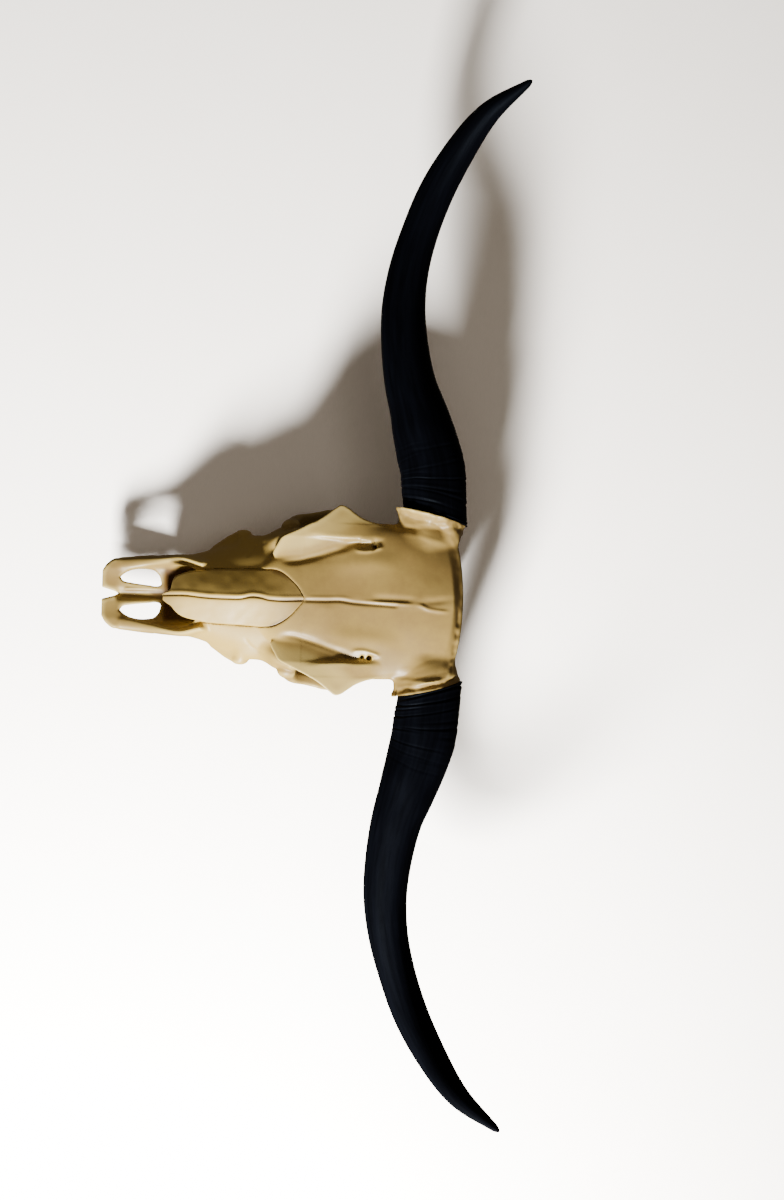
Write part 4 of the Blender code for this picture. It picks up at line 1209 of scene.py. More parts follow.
def across(front, back):
    """Point and normal of a plane square to the midline plane, through two (x, z) points."""
    run, rise = back[0] - front[0], back[1] - front[1]
    return (front[0], 0.0, front[1]), (abs(rise), 0.0, math.copysign(run, -rise))


def backwards(normal):
    """The opposite direction."""
    return tuple(-n for n in normal)


print("blocks of", BLOCK_SIZE, "m ready")

# %% [markdown]
# ## From skin to bone
#
# Each bone takes its stretch of skin, is smoothed and marked, and is cut to its own sutures. Then the
# two shares of bone are read from the lattice at each of its vertices and kept as attributes, which
# the finish reads later for its painted shade and highlights. A sharp edge stays only where a cut
# met the skin.

# %% Bone pieces
SHARP_ANGLE = math.radians(50)


def coordinates(item):
    """Places of an object's vertices as an (n, 3) array."""
    places = np.empty(len(item.data.vertices) * 3, np.float32)
    item.data.vertices.foreach_get("co", places)
    return places.reshape(-1, 3)


def mark_crowding(item, least=0.0):
    """Stores on each vertex the shares of bone round it, blended from the eight lattice points about
    it. A thin plate has little bone round it, so least keeps it from getting the painted highlight of a
    ridge."""
    places = coordinates(item) - np.float32((MEASURE_START_X, 0, 0))
    steps = [(places[:, axis] - whole.lines[axis][0]) / STEP for axis in range(3)]
    cells = [np.clip(np.floor(step).astype(int), 0, len(line) - 2)
             for step, line in zip(steps, whole.lines)]
    shares = [np.clip(step - cell, 0, 1) for step, cell in zip(steps, cells)]
    for name, table in crowding.items():
        total = np.zeros(len(places), np.float32)
        for corner in CELL_CORNERS:
            weight = np.prod([share if up else 1 - share for share, up in zip(shares, corner)], axis=0)
            total += weight * table[tuple(cell + up for cell, up in zip(cells, corner))]
        layer = item.data.attributes.new(name, "FLOAT", "POINT")
        layer.data.foreach_set("value", np.maximum(total, least).astype(np.float32))


def shaded(item):
    """Shades an object smooth but for its sharp edges, and says how many triangles it has."""
    item.data.shade_smooth()
    item.data.set_sharp_from_angle(angle=SHARP_ANGLE)
    triangles = len(item.data.loops) - 2 * len(item.data.polygons)
    print(item.name, triangles, "triangles", round(time.time() - started, 1), "s")
    return item


def bone_piece(name, low, high, kept, removed=()):
    """The skin between two corners, smoothed, trimmed down to the floor and to the blocks."""
    vertices, quads = skin(whole, low, high)
    vertices = mark_vertices(smoothed(vertices, quads))
    item = put_mesh(name, row_frame(vertices), quads)
    trimmed(item, [beyond((0, 0, 0), (0, 0, 1)), *kept], removed)
    mark_crowding(item)
    return shaded(item)


print("sharp past", round(math.degrees(SHARP_ANGLE)), "degrees")

# %% Part the bones
ROOM = 0.006  # how far a bone's stretch of skin goes past its cuts
nose_point, nose_normal = across(*PREMAXILLA_SUTURE)
face_point, face_normal = across(*FACE_SUTURE)
(cheek_x0, cheek_x1), (cheek_y0, cheek_y1), (cheek_z0, cheek_z1) = CHEEK_BOX
bones = {}


def sided(side, low, high):
    """Two corners with y given for the right side, swapped round for the left."""
    ys = sorted((side * low[1], side * high[1]))
    return (low[0], ys[0], low[2]), (high[0], ys[1], high[2])


def own_side(side):
    """Block on one side of the midline."""
    return beyond((0, 0, 0), (0, side, 0), HAIRLINE / 2)


def cheek_block(side, gap):
    """Block of the cheek bone, larger by gap all round."""
    return box_block(*sided(side, (cheek_x0 - gap, cheek_y0 - gap, cheek_z0 - gap),
                            (cheek_x1 + gap, cheek_y1 + gap, cheek_z1 + gap)))


for word, side in (("right", 1), ("left", -1)):
    bones[f"premaxilla_{word}"] = bone_piece(
        f"premaxilla_bone_{word}", *sided(side, (-0.004, -ROOM, -0.006), (0.142 + ROOM, 0.09, 0.14)),
        [own_side(side), beyond(nose_point, backwards(nose_normal), HAIRLINE / 2)])
    bones[f"maxilla_{word}"] = bone_piece(
        f"maxilla_bone_{word}", *sided(side, (0.078, -ROOM, -0.006), (0.326, 0.142, 0.165)),
        [own_side(side), beyond(nose_point, nose_normal, HAIRLINE / 2),
         beyond(face_point, backwards(face_normal), HAIRLINE / 2)],
        [cheek_block(side, HAIRLINE)])
    bones[f"zygomatic_{word}"] = bone_piece(
        f"zygomatic_bone_{word}", *sided(side, (cheek_x0 - ROOM, cheek_y0 - ROOM, cheek_z0 - ROOM),
                                         (cheek_x1 + ROOM, 0.142, cheek_z1 + ROOM)),
        [cheek_block(side, 0.0)])
    bones[f"cranium_{word}"] = bone_piece(
        f"cranium_bone_{word}", *sided(side, (0.230, -ROOM, -0.006), (0.494, 0.142, 0.204)),
        [own_side(side), beyond(face_point, face_normal, HAIRLINE / 2)],
        [cheek_block(side, HAIRLINE), beyond((COLLAR_FACE[0], side * COLLAR_FACE[1], COLLAR_FACE[2]),
                                             (COLLAR_NORMAL[0], side * COLLAR_NORMAL[1], 0.0))])
print("bones parted:", round(time.time() - started, 1), "s")

# %% [markdown]
# ## Nasal bones
#
# Each plate is a grid: u runs along it and v round its section, over the roof from the midline to the
# outer edge, round that edge and back underneath. The joint between the two wanders a little to
# either side, as a groove that is steeper on one side. Both ends close on a short seam.

# %% Nasal plates
PLATE_ROWS, PLATE_TOP, PLATE_UNDER = 420, 84, 16  # along it, across its top, and back underneath
PLATE_CROWDING = 0.42  # least share of bone that its finish goes by, so the plate gets no painted ridge highlight
JOINT = (  # x and y of the joint as it wanders
    (0.0878, -0.0003), (0.1180, 0.0005), (0.1442, -0.0017), (0.1727, -0.0023), (0.1907, -0.0017),
    (0.2037, 0.0010), (0.2156, 0.0004), (0.2262, -0.0020), (0.2357, -0.0026), (0.2714, -0.0016))
JOINT_DEPTH, JOINT_SWELL = 0.0017, 0.0005
RIM_RADIUS = 0.0008


def nasal_relief(x, y):
    """A groove along the wandering joint, low swellings beside it, and a faint unevenness."""
    knots = np.array(JOINT)
    off = y - smooth_at(knots[:, 0], knots[:, 1], x)
    groove = -JOINT_DEPTH * np.exp(-(off / np.where(off > 0, 0.0023, 0.0015)) ** 2)
    swell = JOINT_SWELL * np.exp(-((off - 0.0048) / 0.0025) ** 2)
    return groove + swell + 0.0003 * lumps(x[:, None], y, 0.0 * y, 0.011, 41)


def nasal_plate(side):
    """Places on the plate: y = share of the width, z = roof + relief, less the rounding of the rim."""
    first, last = NASAL_WIDTHS[side][0][0], NASAL_WIDTHS[side][-1][0]
    along = np.linspace(0.0, 1.0, PLATE_ROWS)
    x = first + (last - first) * (along - 0.8 * np.sin(2 * math.pi * along) / (2 * math.pi))
    width = nasal_width(x, side)[:, None]
    out = np.linspace(0.0, 1.0, PLATE_TOP)
    inset = np.concatenate([out * (1 - RIM_RADIUS / width), np.ones_like(width),
                            np.linspace(1.0, 0.0, PLATE_UNDER) * (1 - RIM_RADIUS / width)], axis=1)
    y = HAIRLINE / 2 + (width - HAIRLINE / 2) * inset
    top = nasal_top(x, y)
    upper = np.arange(y.shape[1]) < PLATE_TOP
    falling = RIM_RADIUS * np.exp(-((width - y) / (1.3 * RIM_RADIUS)) ** 2)
    z = np.where(upper, top + nasal_relief(x, side * y) - falling, top - nasal_thickness(x)[:, None])
    z[:, PLATE_TOP] = top[:, PLATE_TOP] - 1.5 * RIM_RADIUS
    return np.stack([np.broadcast_to(x[:, None], y.shape), side * y, z], axis=-1)


def grid_mesh(name, grid, flip):
    """A closed tube over a grid whose rows are rings, with a fan of triangles on each end."""
    rows, around = grid.shape[:2]
    number = np.arange(rows * around).reshape(rows, around)
    near, far = number[:-1], number[1:]
    quads = np.stack([near, np.roll(near, -1, 1), np.roll(far, -1, 1), far], axis=-1).reshape(-1, 4)
    faces = np.concatenate([quads[:, [0, 1, 2]], quads[:, [0, 2, 3]]])
    centres = np.array([grid[0].mean(0), grid[-1].mean(0)])
    for ring, centre in ((number[0][::-1], grid[..., 0].size), (number[-1], grid[..., 0].size + 1)):
        faces = np.concatenate([faces, np.column_stack([ring, np.roll(ring, -1), np.full(around, centre)])])
    if flip:
        faces = faces[:, ::-1]
    return put_mesh(name, row_frame(np.concatenate([grid.reshape(-1, 3), centres])), faces)


for word, side in (("right", 1), ("left", -1)):
    bone = grid_mesh(f"nasal_bone_{word}", nasal_plate(side), side > 0)
    mark_crowding(bone, least=PLATE_CROWDING)
    bones[f"nasal_{word}"] = shaded(bone)

# %% [markdown]
# ## Horns
#
# A horn is a profile carried along a path: an oval whose centre follows the horn's route out, forward
# and up, and whose radius shrinks to the tip. The first ring lies flat in the plane of the collar,
# and the rings turn square to the route within the first hand's breadth. The root is flattened, more
# so on the left, where the collar is lower. Cow horn grows in rings, so the root is wrinkled across
# its length: each wrinkle is a narrow groove with its own place, tilt, depth and reach round the horn.
# Broad dents follow, and faint ribs run on toward the tip.

# %% Route of the horns
HORN_ROUTE = (  # route of one horn from inside the collar out to its tip, then the radius there
    (0.4490, 0.080, 0.156, 0.0455),
    (0.4410, 0.134, 0.156, 0.0449),
    (0.4360, 0.185, 0.157, 0.0442),
    (0.4210, 0.237, 0.156, 0.0402),
    (0.4050, 0.288, 0.154, 0.0350),
    (0.3960, 0.340, 0.151, 0.0320),
    (0.3930, 0.392, 0.149, 0.0297),
    (0.3980, 0.443, 0.152, 0.0270),
    (0.4100, 0.492, 0.161, 0.0249),
    (0.4260, 0.537, 0.179, 0.0235),
    (0.4470, 0.576, 0.210, 0.0203),
    (0.4720, 0.607, 0.254, 0.0146),
    (0.5130, 0.6260, 0.3140, 0.0034),
)
HORN_ROWS, HORN_AROUND = 460, 96
HORN_ROOT_FLATNESS = {1: 0.80, -1: 0.72}  # thickness over width at the root, right and left
HORN_FIT = 0.985  # the horn's own radius over the route's
TURN_END = 0.12  # share of the length within which the rings turn square to the route
TIP_SHARE = 0.015  # share of the length over which the tip is rounded
print("horn stations:", len(HORN_ROUTE))

# %% Relief of the horns
WRINKLE_REACH, WRINKLE_GAP = 0.105, 0.0064  # length of the wrinkled root, and from wrinkle to wrinkle
DENT_DEPTH = 0.0021


def horn_relief(along, turn, seed):
    """How far the horn's skin stands off its plain oval: wrinkles, dents and ribs.

    A wrinkle is a narrow bell engraved across the horn, with a broader and lower one raised beside
    it. Dents are lumps in the two angles and the length. Ribs are sines of the angle.
    """
    random = np.random.default_rng(seed)
    round_x, round_y = np.cos(turn), np.sin(turn)
    total = 0.0
    for place in np.arange(0.005, WRINKLE_REACH, WRINKLE_GAP):
        here = place + random.uniform(-0.35, 0.35) * WRINKLE_GAP
        tilt, slant, toward = random.uniform(0.0, 0.0045), random.uniform(0, 6.28), random.uniform(0, 6.28)
        width, depth = random.uniform(0.0011, 0.0019), random.uniform(0.0006, 0.0013)
        reach = ramp(np.cos(turn - toward), random.uniform(-1.2, -0.6), random.uniform(0.0, 0.6))
        waver = lumps(2 * round_x, 2 * round_y, 0.3 + 60 * here, 1.0, seed + 2)
        off = along - (here + tilt * np.cos(turn - slant) + 0.0011 * waver)
        bend = np.exp(-(off / width) ** 2) - 0.45 * np.exp(-((off - 1.9 * width) / (1.4 * width)) ** 2)
        total = total - depth * (1.15 - here / WRINKLE_REACH) * reach * bend
    dents = lumps(1.1 * round_x, 1.1 * round_y, along / 0.034, 1.0, seed + 1)
    total = total + DENT_DEPTH * dents * ramp(along, 0.004, 0.03) * (1 - ramp(along, 0.10, 0.24))
    ribs = 0.00016 * np.sin(9 * turn + 2.0 * np.sin(5 * along))
    ribs = ribs + 0.00012 * np.sin(17 * turn + 3.0 * np.sin(8 * along))
    return total + ribs * ramp(along, 0.03, 0.15) * (1 - ramp(along, 0.35, 0.58))


print("wrinkles on each horn:", len(np.arange(0.005, WRINKLE_REACH, WRINKLE_GAP)))


# %% Both horns
def horn(side, seed):
    """Places on the horn: centre(u) + (radius(u) + relief) (cos v wide + flatness sin v thick)."""
    fine = smooth_rows(HORN_ROUTE, 1600)
    normal = np.array(COLLAR_NORMAL) / np.linalg.norm(COLLAR_NORMAL)
    past = (fine[:, :3] - COLLAR_FACE) @ normal - SEAM
    fine = fine[np.argmax(past > 0):]
    along = np.concatenate([[0.0], np.cumsum(np.linalg.norm(np.diff(fine[:, :3], axis=0), axis=1))])
    length = along[-1]
    u = np.linspace(0.0, 1.0, HORN_ROWS)
    u = (u + 1.2 * u * u) / 2.2
    rows = np.column_stack([np.interp(u * length, along, fine[:, axis]) for axis in range(4)])
    heading = np.gradient(rows[:, :3], axis=0)
    heading /= np.linalg.norm(heading, axis=1)[:, None]
    turned = ramp(u, 0.0, TURN_END)[:, None]
    facing = normal * (1 - turned) + heading * turned
    facing /= np.linalg.norm(facing, axis=1)[:, None]
    wide = np.cross(facing, (0.0, 0.0, 1.0))
    wide /= np.linalg.norm(wide, axis=1)[:, None]
    thick = np.cross(wide, facing)
    flat = HORN_ROOT_FLATNESS[side]
    flatness = (flat + (1 - flat) * np.clip(2 * u, 0, 1))[:, None]
    v = np.arange(HORN_AROUND)[None, :] * 2 * math.pi / HORN_AROUND
    relief = horn_relief((u * length)[:, None], v, seed) * ramp(u, 0.0, 0.004)[:, None]
    radius = rows[:, 3:4] * HORN_FIT + relief
    into_tip = np.clip(u - (1 - TIP_SHARE), 0, 1) / TIP_SHARE
    tip = np.sqrt(np.clip(1 - into_tip ** 2, 0.0, 1.0))[:, None]
    radius = radius * np.maximum(tip, 0.05)
    grid = (rows[:, None, :3] + (radius * np.cos(v))[..., None] * wide[:, None]
            + (radius * flatness * np.sin(v))[..., None] * thick[:, None])
    return grid * (1, side, 1), u * length


def horn_object(name, side, seed):
    """A horn as a mesh, with its own coordinates for the fibres: cos v, sin v and the way along."""
    grid, along = horn(side, seed)
    rows, around = grid.shape[:2]
    root, point = rows * around, rows * around + 1
    item = grid_mesh(name, grid, side < 0)
    route = item.data.attributes.new("along_horn", "FLOAT_VECTOR", "POINT")
    turn = np.arange(around) * 2 * math.pi / around
    places = np.zeros((len(item.data.vertices), 3), np.float32)
    places[:rows * around] = np.stack([
        np.broadcast_to(np.cos(turn), (rows, around)), np.broadcast_to(np.sin(turn), (rows, around)),
        np.broadcast_to(along[:, None], (rows, around))], axis=-1).reshape(-1, 3)
    places[root], places[point] = (0, 0, 0), (0, 0, along[-1])
    route.data.foreach_set("vector", places.ravel())
    print("length", round(float(along[-1]), 3), "m")
    return shaded(item)


horns = {"right": horn_object("horn_sheath_right", 1, 11), "left": horn_object("horn_sheath_left", -1, 21)}

# %% [markdown]
# ## Tools for the finishes
#
# A finish is a tree of nodes. The same few kinds of node come again and again, so each gets a short
# function that makes it, sets or links its inputs, and gives back its output.

# %% Short functions for nodes
def linked(tree, socket, value):
    """Links a node's output into a socket, or sets the socket to a plain value."""
    if isinstance(value, bpy.types.NodeSocket):
        tree.links.new(value, socket)
    else:
        socket.default_value = value


def noise(tree, vector, scale, detail=3.0, roughness=0.5):
    """Soft random pattern from 0 to 1."""
    node = tree.nodes.new("ShaderNodeTexNoise")
    for socket, value in zip(("Vector", "Scale", "Detail", "Roughness"), (vector, scale, detail, roughness)):
        linked(tree, node.inputs[socket], value)
    return node.outputs["Fac"]


def math_node(tree, operation, *values):
    """One step of arithmetic on one or two values."""
    node = tree.nodes.new("ShaderNodeMath")
    node.operation = operation
    for socket, value in zip(node.inputs, values):
        linked(tree, socket, value)
    return node.outputs[0]


def product(tree, *values):
    """All the values multiplied together."""
    total = values[0]
    for value in values[1:]:
        total = math_node(tree, "MULTIPLY", total, value)
    return total


def mapped(tree, value, low, high, to_low=0.0, to_high=1.0):
    """Smooth step from to_low, where the value is low, to to_high, where it is high."""
    node = tree.nodes.new("ShaderNodeMapRange")
    node.interpolation_type = "SMOOTHSTEP"
    for socket, number in (("From Min", low), ("From Max", high), ("To Min", to_low), ("To Max", to_high)):
        node.inputs[socket].default_value = number
    tree.links.new(value, node.inputs["Value"])
    return node.outputs["Result"]


def mixed(tree, share, first, second):
    """Mix of two colours by a share."""
    node = tree.nodes.new("ShaderNodeMix")
    node.data_type = "RGBA"
    for socket, value in ((node.inputs[0], share), (node.inputs[6], first), (node.inputs[7], second)):
        linked(tree, socket, value)
    return node.outputs[2]


def bumped(tree, height, strength, distance):
    """Normal tilted by the slope of a height."""
    node = tree.nodes.new("ShaderNodeBump")
    for socket, value in (("Height", height), ("Strength", strength), ("Distance", distance)):
        linked(tree, node.inputs[socket], value)
    return node.outputs["Normal"]


def attribute(tree, name, output):
    """An attribute that is stored on the piece's vertices."""
    node = tree.nodes.new("ShaderNodeAttribute")
    node.attribute_name = name
    return node.outputs[output]


def object_place(tree):
    """The object's own coordinates, which are the frame's."""
    return tree.nodes.new("ShaderNodeTexCoord").outputs["Object"]


def new_finish(name):
    """A material, its tree and its shader."""
    made = bpy.data.materials.new(name)
    made.use_nodes = True
    return made, made.node_tree, made.node_tree.nodes["Principled BSDF"]


print("node functions ready")

# %% [markdown]
# ## Two effects that the finishes share
#
# The bone, the horn and the floor are all faintly clouded, and the bone has the fine grain that a
# mould leaves. Each effect is a node group, built once: one gives a mask of soft cloud, the other a
# height for a bump. Every material places them with its own scales.

# %% Node groups
def new_group(name, inputs, outputs):
    """A node group with its input and output sockets."""
    group = bpy.data.node_groups.new(name, "ShaderNodeTree")
    for socket, kind, value in inputs:
        made = group.interface.new_socket(name=socket, in_out="INPUT", socket_type=kind)
        if value is not None:
            made.default_value = value
    for socket, kind in outputs:
        group.interface.new_socket(name=socket, in_out="OUTPUT", socket_type=kind)
    return group, group.nodes.new("NodeGroupInput"), group.nodes.new("NodeGroupOutput")


def clouded_group():
    """Two scales of soft cloud, mixed to one mask that stays between 0 and 1."""
    group, entry, leave = new_group(
        "clouded", [("Vector", "NodeSocketVector", None), ("Broad Scale", "NodeSocketFloat", 14.0),
                    ("Fine Scale", "NodeSocketFloat", 90.0)], [("Cloud", "NodeSocketFloat")])
    broad = noise(group, entry.outputs["Vector"], entry.outputs["Broad Scale"], 2.0)
    fine = noise(group, entry.outputs["Vector"], entry.outputs["Fine Scale"], 4.0)
    both = math_node(group, "ADD", product(group, broad, 0.7), product(group, fine, 0.3))
    group.links.new(mapped(group, both, 0.35, 0.65), leave.inputs["Cloud"])
    return group


def grain_group():
    """Height of a fine grain over a soft unevenness, as left by a mould."""
    group, entry, leave = new_group(
        "grain", [("Vector", "NodeSocketVector", None), ("Scale", "NodeSocketFloat", 500.0)],
        [("Height", "NodeSocketFloat")])
    fine = noise(group, entry.outputs["Vector"], entry.outputs["Scale"], 3.0)
    soft = noise(group, entry.outputs["Vector"], product(group, entry.outputs["Scale"], 0.16), 2.0)
    height = math_node(group, "ADD", product(group, fine, 0.25), product(group, soft, 0.75))
    group.links.new(height, leave.inputs["Height"])
    return group


CLOUDED, GRAIN = clouded_group(), grain_group()


def use_group(tree, group, vector, **values):
    """Places a group in a material, with its own values."""
    node = tree.nodes.new("ShaderNodeGroup")
    node.node_tree = group
    tree.links.new(vector, node.inputs["Vector"])
    for socket, value in values.items():
        node.inputs[socket.replace("_", " ")].default_value = value
    return node.outputs[0]


print("node groups:", CLOUDED.name, GRAIN.name)

# %% [markdown]
# ## The cast bone
#
# The bone is cream resin with a satin skin. A highlight is painted where it stands out and shade
# where it lies deep, which the two shares of bone tell. The face is a warmer cream than the forehead.
# Shade is painted inside the nose, which is dull too, so that it looks deep from above. All of it is
# mixed from colours by masks, so it looks the same from every side and bakes into plain pictures.

# %% Colours of the cast bone
CREAM = (0.310, 0.210, 0.061, 1.0)
FACE_CREAM = (0.540, 0.372, 0.092, 1.0)
# painted highlight: paler cream where the bone stands out
PAINTED_HIGHLIGHT_CREAM = (0.660, 0.510, 0.170, 1.0)
TAN = (0.255, 0.165, 0.046, 1.0)
# painted shade: brown for creases and hollows
PAINTED_SHADE_BROWN = (0.075, 0.032, 0.008, 1.0)
# painted shade inside the nose
PAINTED_NOSE_SHADE = (0.050, 0.019, 0.004, 1.0)
print("cream in linear light:", CREAM[:3])


# %% Masks along the skull
def from_nose(tree, x, start, end, most=1.0):
    """Smooth step in x, with start and end in the skull's own measures."""
    return mapped(tree, x, MEASURE_START_X + start, MEASURE_START_X + end, 0.0, most)


def face_mask(tree, x):
    """From behind the premaxillae to the front of the forehead."""
    return product(tree, from_nose(tree, x, 0.270, 0.200, 0.85), from_nose(tree, x, 0.085, 0.125))


def nose_shade_mask(tree, x, y, z):
    """Where shade is painted inside the nose: between its walls, over the palate and under the nasal
    bones.
    """
    return product(tree, from_nose(tree, x, 0.080, 0.090),
                   mapped(tree, math_node(tree, "ABSOLUTE", y), 0.041, 0.032),
                   mapped(tree, z, 0.034, 0.039),
                   mapped(tree, z, 0.084, 0.068, 0.0, 0.9),
                   from_nose(tree, x, 0.240, 0.215))


# %% Finish of the cast bone
def cast_bone():
    """Cream and tan by the cloud, then each mask mixes its colour in: a warmer face, a painted
    highlight on ridges and edges, and painted shade in creases, hollows and the nose.
    """
    made, tree, shader = new_finish("cast_bone")
    place = object_place(tree)
    crowd, edges = attribute(tree, "crowding", "Fac"), attribute(tree, "edges", "Fac")
    cloud = use_group(tree, CLOUDED, place, Broad_Scale=16.0, Fine_Scale=110.0)
    parts = tree.nodes.new("ShaderNodeSeparateXYZ")
    tree.links.new(place, parts.inputs[0])
    x, y, z = parts.outputs
    colour = mixed(tree, cloud, CREAM, TAN)
    colour = mixed(tree, face_mask(tree, x), colour, FACE_CREAM)
    # painted highlight: paler cream on ridges and sharp edges, where less bone lies round a point
    colour = mixed(tree, mapped(tree, crowd, 0.46, 0.26, 0.0, 0.5), colour, PAINTED_HIGHLIGHT_CREAM)
    colour = mixed(tree, mapped(tree, edges, 0.42, 0.26, 0.0, 0.8), colour, PAINTED_HIGHLIGHT_CREAM)
    # painted shade: browner in creases and hollows, where more bone lies round a point
    colour = mixed(tree, mapped(tree, edges, 0.56, 0.80, 0.0, 0.6), colour, PAINTED_SHADE_BROWN)
    colour = mixed(tree, mapped(tree, crowd, 0.54, 0.86, 0.0, 0.8), colour, PAINTED_SHADE_BROWN)
    # painted shade: dark brown inside the nose, where it lies in shade from above
    inside = nose_shade_mask(tree, x, y, z)
    colour = mixed(tree, inside, colour, PAINTED_NOSE_SHADE)
    tree.links.new(colour, shader.inputs["Base Color"])
    tree.links.new(mapped(tree, cloud, 0.0, 1.0, 0.38, 0.50), shader.inputs["Roughness"])
    height = use_group(tree, GRAIN, place, Scale=420.0)
    tree.links.new(bumped(tree, height, 0.22, 0.0005), shader.inputs["Normal"])
    tree.links.new(mapped(tree, inside, 0.0, 0.8, 0.35, 0.05), shader.inputs["Specular IOR Level"])
    return made


BONE_FINISH = cast_bone()
print("bone finish:", len(BONE_FINISH.node_tree.nodes), "nodes")

# %% [markdown]
# ## The black horn
#
# The horns are nearly black, a little blue, and satin. Fine fibres run along them, so their pattern
# reads the horn's own coordinates, stretched along its length, and bends where the horn bends.

# %% Finish of the black horn
HORN_BLACK = (0.0010, 0.0011, 0.0018, 1.0)
HORN_BLUE_BLACK = (0.0020, 0.0024, 0.0040, 1.0)
HORN_SHEEN = (0.60, 0.76, 1.0, 1.0)


def black_horn():
    """Two blacks by the cloud, with the fibres in the roughness and the bump."""
    made, tree, shader = new_finish("black_horn")
    stretch = tree.nodes.new("ShaderNodeMapping")
    stretch.inputs["Scale"].default_value = (1.0, 1.0, 3.0)
    tree.links.new(attribute(tree, "along_horn", "Vector"), stretch.inputs["Vector"])
    fibres = noise(tree, stretch.outputs["Vector"], 22.0, 4.0, 0.6)
    cloud = use_group(tree, CLOUDED, stretch.outputs["Vector"], Broad_Scale=2.2, Fine_Scale=9.0)
    colour = mixed(tree, cloud, HORN_BLACK, HORN_BLUE_BLACK)
    tree.links.new(colour, shader.inputs["Base Color"])
    tree.links.new(mapped(tree, fibres, 0.3, 0.7, 0.42, 0.58), shader.inputs["Roughness"])
    tree.links.new(bumped(tree, fibres, 0.35, 0.0008), shader.inputs["Normal"])
    shader.inputs["Specular IOR Level"].default_value = 0.02
    shader.inputs["Specular Tint"].default_value = HORN_SHEEN
    return made


HORN_FINISH = black_horn()
print("horn finish:", len(HORN_FINISH.node_tree.nodes), "nodes")

# %% [markdown]
# ## Pieces in the frame
#
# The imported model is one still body. Each finished piece rides on it and stands in for a node of the
# model, so that only one of the two is shown. The cranium's node has two pieces, one for each half.

# %% Hand the pieces to the frame
for node, piece in bones.items():
    piece.data.materials.clear()
    piece.data.materials.append(BONE_FINISH)
    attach(piece, "root")
    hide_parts("cranium" if node.startswith("cranium") else node)
for word, piece in horns.items():
    piece.data.materials.append(HORN_FINISH)
    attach(piece, "root")
    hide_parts(f"horn_{word}")
print("finished pieces:", len(bones) + len(horns))

# %% [markdown]
# ## Floor
#
# The skull lies on a plain pale floor. Light that the floor throws back would flatten the shade on the
# bone, so the floor is left out of what the bone's bounced light and reflections see.

# %% Pale floor
FLOOR_SIZE = 8.0
FLOOR_DULL, FLOOR_PALE = (0.86, 0.82, 0.77, 1.0), (0.88, 0.845, 0.80, 1.0)


def pale_floor():
    """A square at the height where the skull rests, in a faintly clouded paint."""
    corners = np.array([(-1, -1, 0), (1, -1, 0), (1, 1, 0), (-1, 1, 0)]) * FLOOR_SIZE / 2
    item = put_mesh("pale_floor", corners, np.array([(0, 1, 2, 3)]))
    made, tree, shader = new_finish("pale_floor_paint")
    cloud = use_group(tree, CLOUDED, object_place(tree), Broad_Scale=1.2, Fine_Scale=6.0)
    tree.links.new(mixed(tree, cloud, FLOOR_DULL, FLOOR_PALE), shader.inputs["Base Color"])
    shader.inputs["Roughness"].default_value = 0.8
    item.data.materials.append(made)
    return item


floor = pale_floor()
floor.visible_diffuse = False
floor.visible_glossy = False
print("floor:", FLOOR_SIZE, "m across")

# %% [markdown]
# ## Lights
#
# One soft light stands low at the skull's left, so the shade falls to its right and a little toward
# the poll. A brighter twin in the same place lights the floor only: the floor comes out near white
# while the bone keeps its tone, and both shadows fall alike. A broad warm glow from above opens the
# shadows on the floor, a faint second light and a warm world open the shade on the bone.

# %% Set up the lights
SKULL_MIDDLE = (0.0, 0.0, 0.1)
KEY_PLACE, KEY_SIZE = (-0.48, -1.75, 0.95), 0.38


def soft_light(name, place, aim, size, power, colour):
    """A square area light that looks at aim; power in watts."""
    data = bpy.data.lights.new(name, "AREA")
    data.shape = "SQUARE"
    data.size, data.energy, data.color = size, power, colour
    item = bpy.data.objects.new(name, data)
    bpy.context.scene.collection.objects.link(item)
    item.location = place
    item.rotation_euler = (Vector(place) - Vector(aim)).to_track_quat("Z", "Y").to_euler()
    return item


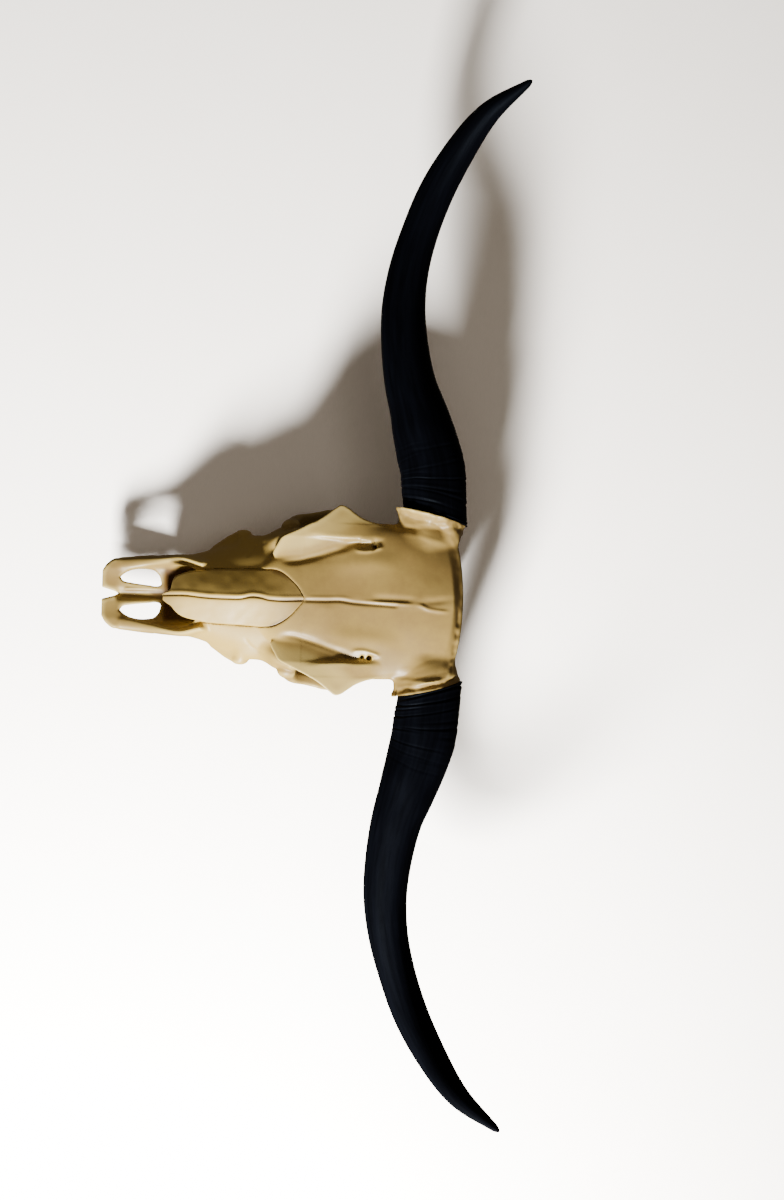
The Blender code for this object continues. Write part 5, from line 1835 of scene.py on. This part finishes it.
floor_only = bpy.data.collections.new("floor_only")
floor_only.objects.link(floor)
soft_light("key", KEY_PLACE, SKULL_MIDDLE, KEY_SIZE, 196.0, (1.0, 0.975, 0.93))
backdrop = soft_light("backdrop", KEY_PLACE, SKULL_MIDDLE, KEY_SIZE, 520.0, (1.0, 0.985, 0.96))
backdrop.light_linking.receiver_collection = floor_only
soft_light("second", (0.75, 0.15, 2.10), SKULL_MIDDLE, 0.5, 1.3, (1.0, 0.90, 0.80))
glow = soft_light("glow", (0.0, 0.0, 3.0), (0.0, 0.0, 0.0), 3.0, 16.0, (1.0, 0.86, 0.72))
glow.light_linking.receiver_collection = floor_only
key_height = math.degrees(math.atan2(KEY_PLACE[2] - SKULL_MIDDLE[2], math.hypot(*KEY_PLACE[:2])))
print("key light", round(key_height, 1), "degrees over the floor")

# %% World
world = bpy.data.worlds.new("studio")
world.use_nodes = True
world.node_tree.nodes["Background"].inputs["Color"].default_value = (1.0, 0.84, 0.66, 1.0)
world.node_tree.nodes["Background"].inputs["Strength"].default_value = 0.115
bpy.context.scene.world = world
print("world:", world.name)

# %% [markdown]
# ## Camera
#
# The camera stands over the face and looks down and back to the poll, nine degrees off the vertical
# and rolled a little. Its place and lens were worked out from the outline: nearer bones look larger,
# so the sizes of nose, horns and forehead in the picture fix how far away it stood.

# %% Camera
CAMERA_PLACE = (0.181, 0.0025, 1.466)  # in the skull's own measures
CAMERA_TIP, CAMERA_ROLL = math.radians(9.0), math.radians(1.8)
IMAGE_HEIGHT, FOCAL_PIXELS, SENSOR = 1200, 1000.0, 36.0

right = np.array((math.cos(CAMERA_TIP), 0.0, math.sin(CAMERA_TIP)))
up = np.array((0.0, 1.0, 0.0))
back = np.array((-math.sin(CAMERA_TIP), 0.0, math.cos(CAMERA_TIP)))
rolled_right = right * math.cos(CAMERA_ROLL) + up * math.sin(CAMERA_ROLL)
rolled_up = up * math.cos(CAMERA_ROLL) - right * math.sin(CAMERA_ROLL)
camera_data = bpy.data.cameras.new("camera")
camera_data.sensor_width = SENSOR
camera_data.lens = SENSOR * FOCAL_PIXELS / IMAGE_HEIGHT
camera = bpy.data.objects.new("camera", camera_data)
bpy.context.scene.collection.objects.link(camera)
pose = np.eye(4)
pose[:3, 0], pose[:3, 1], pose[:3, 2], pose[:3, 3] = rolled_right, rolled_up, back, row_frame(CAMERA_PLACE)
camera.matrix_world = Matrix(pose.tolist())
bpy.context.scene.camera = camera
print("lens", round(camera_data.lens, 2), "mm")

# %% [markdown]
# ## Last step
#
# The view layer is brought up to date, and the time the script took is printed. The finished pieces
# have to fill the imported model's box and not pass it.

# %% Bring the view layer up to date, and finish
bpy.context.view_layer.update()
print("script took", round(time.time() - started, 1), "s")
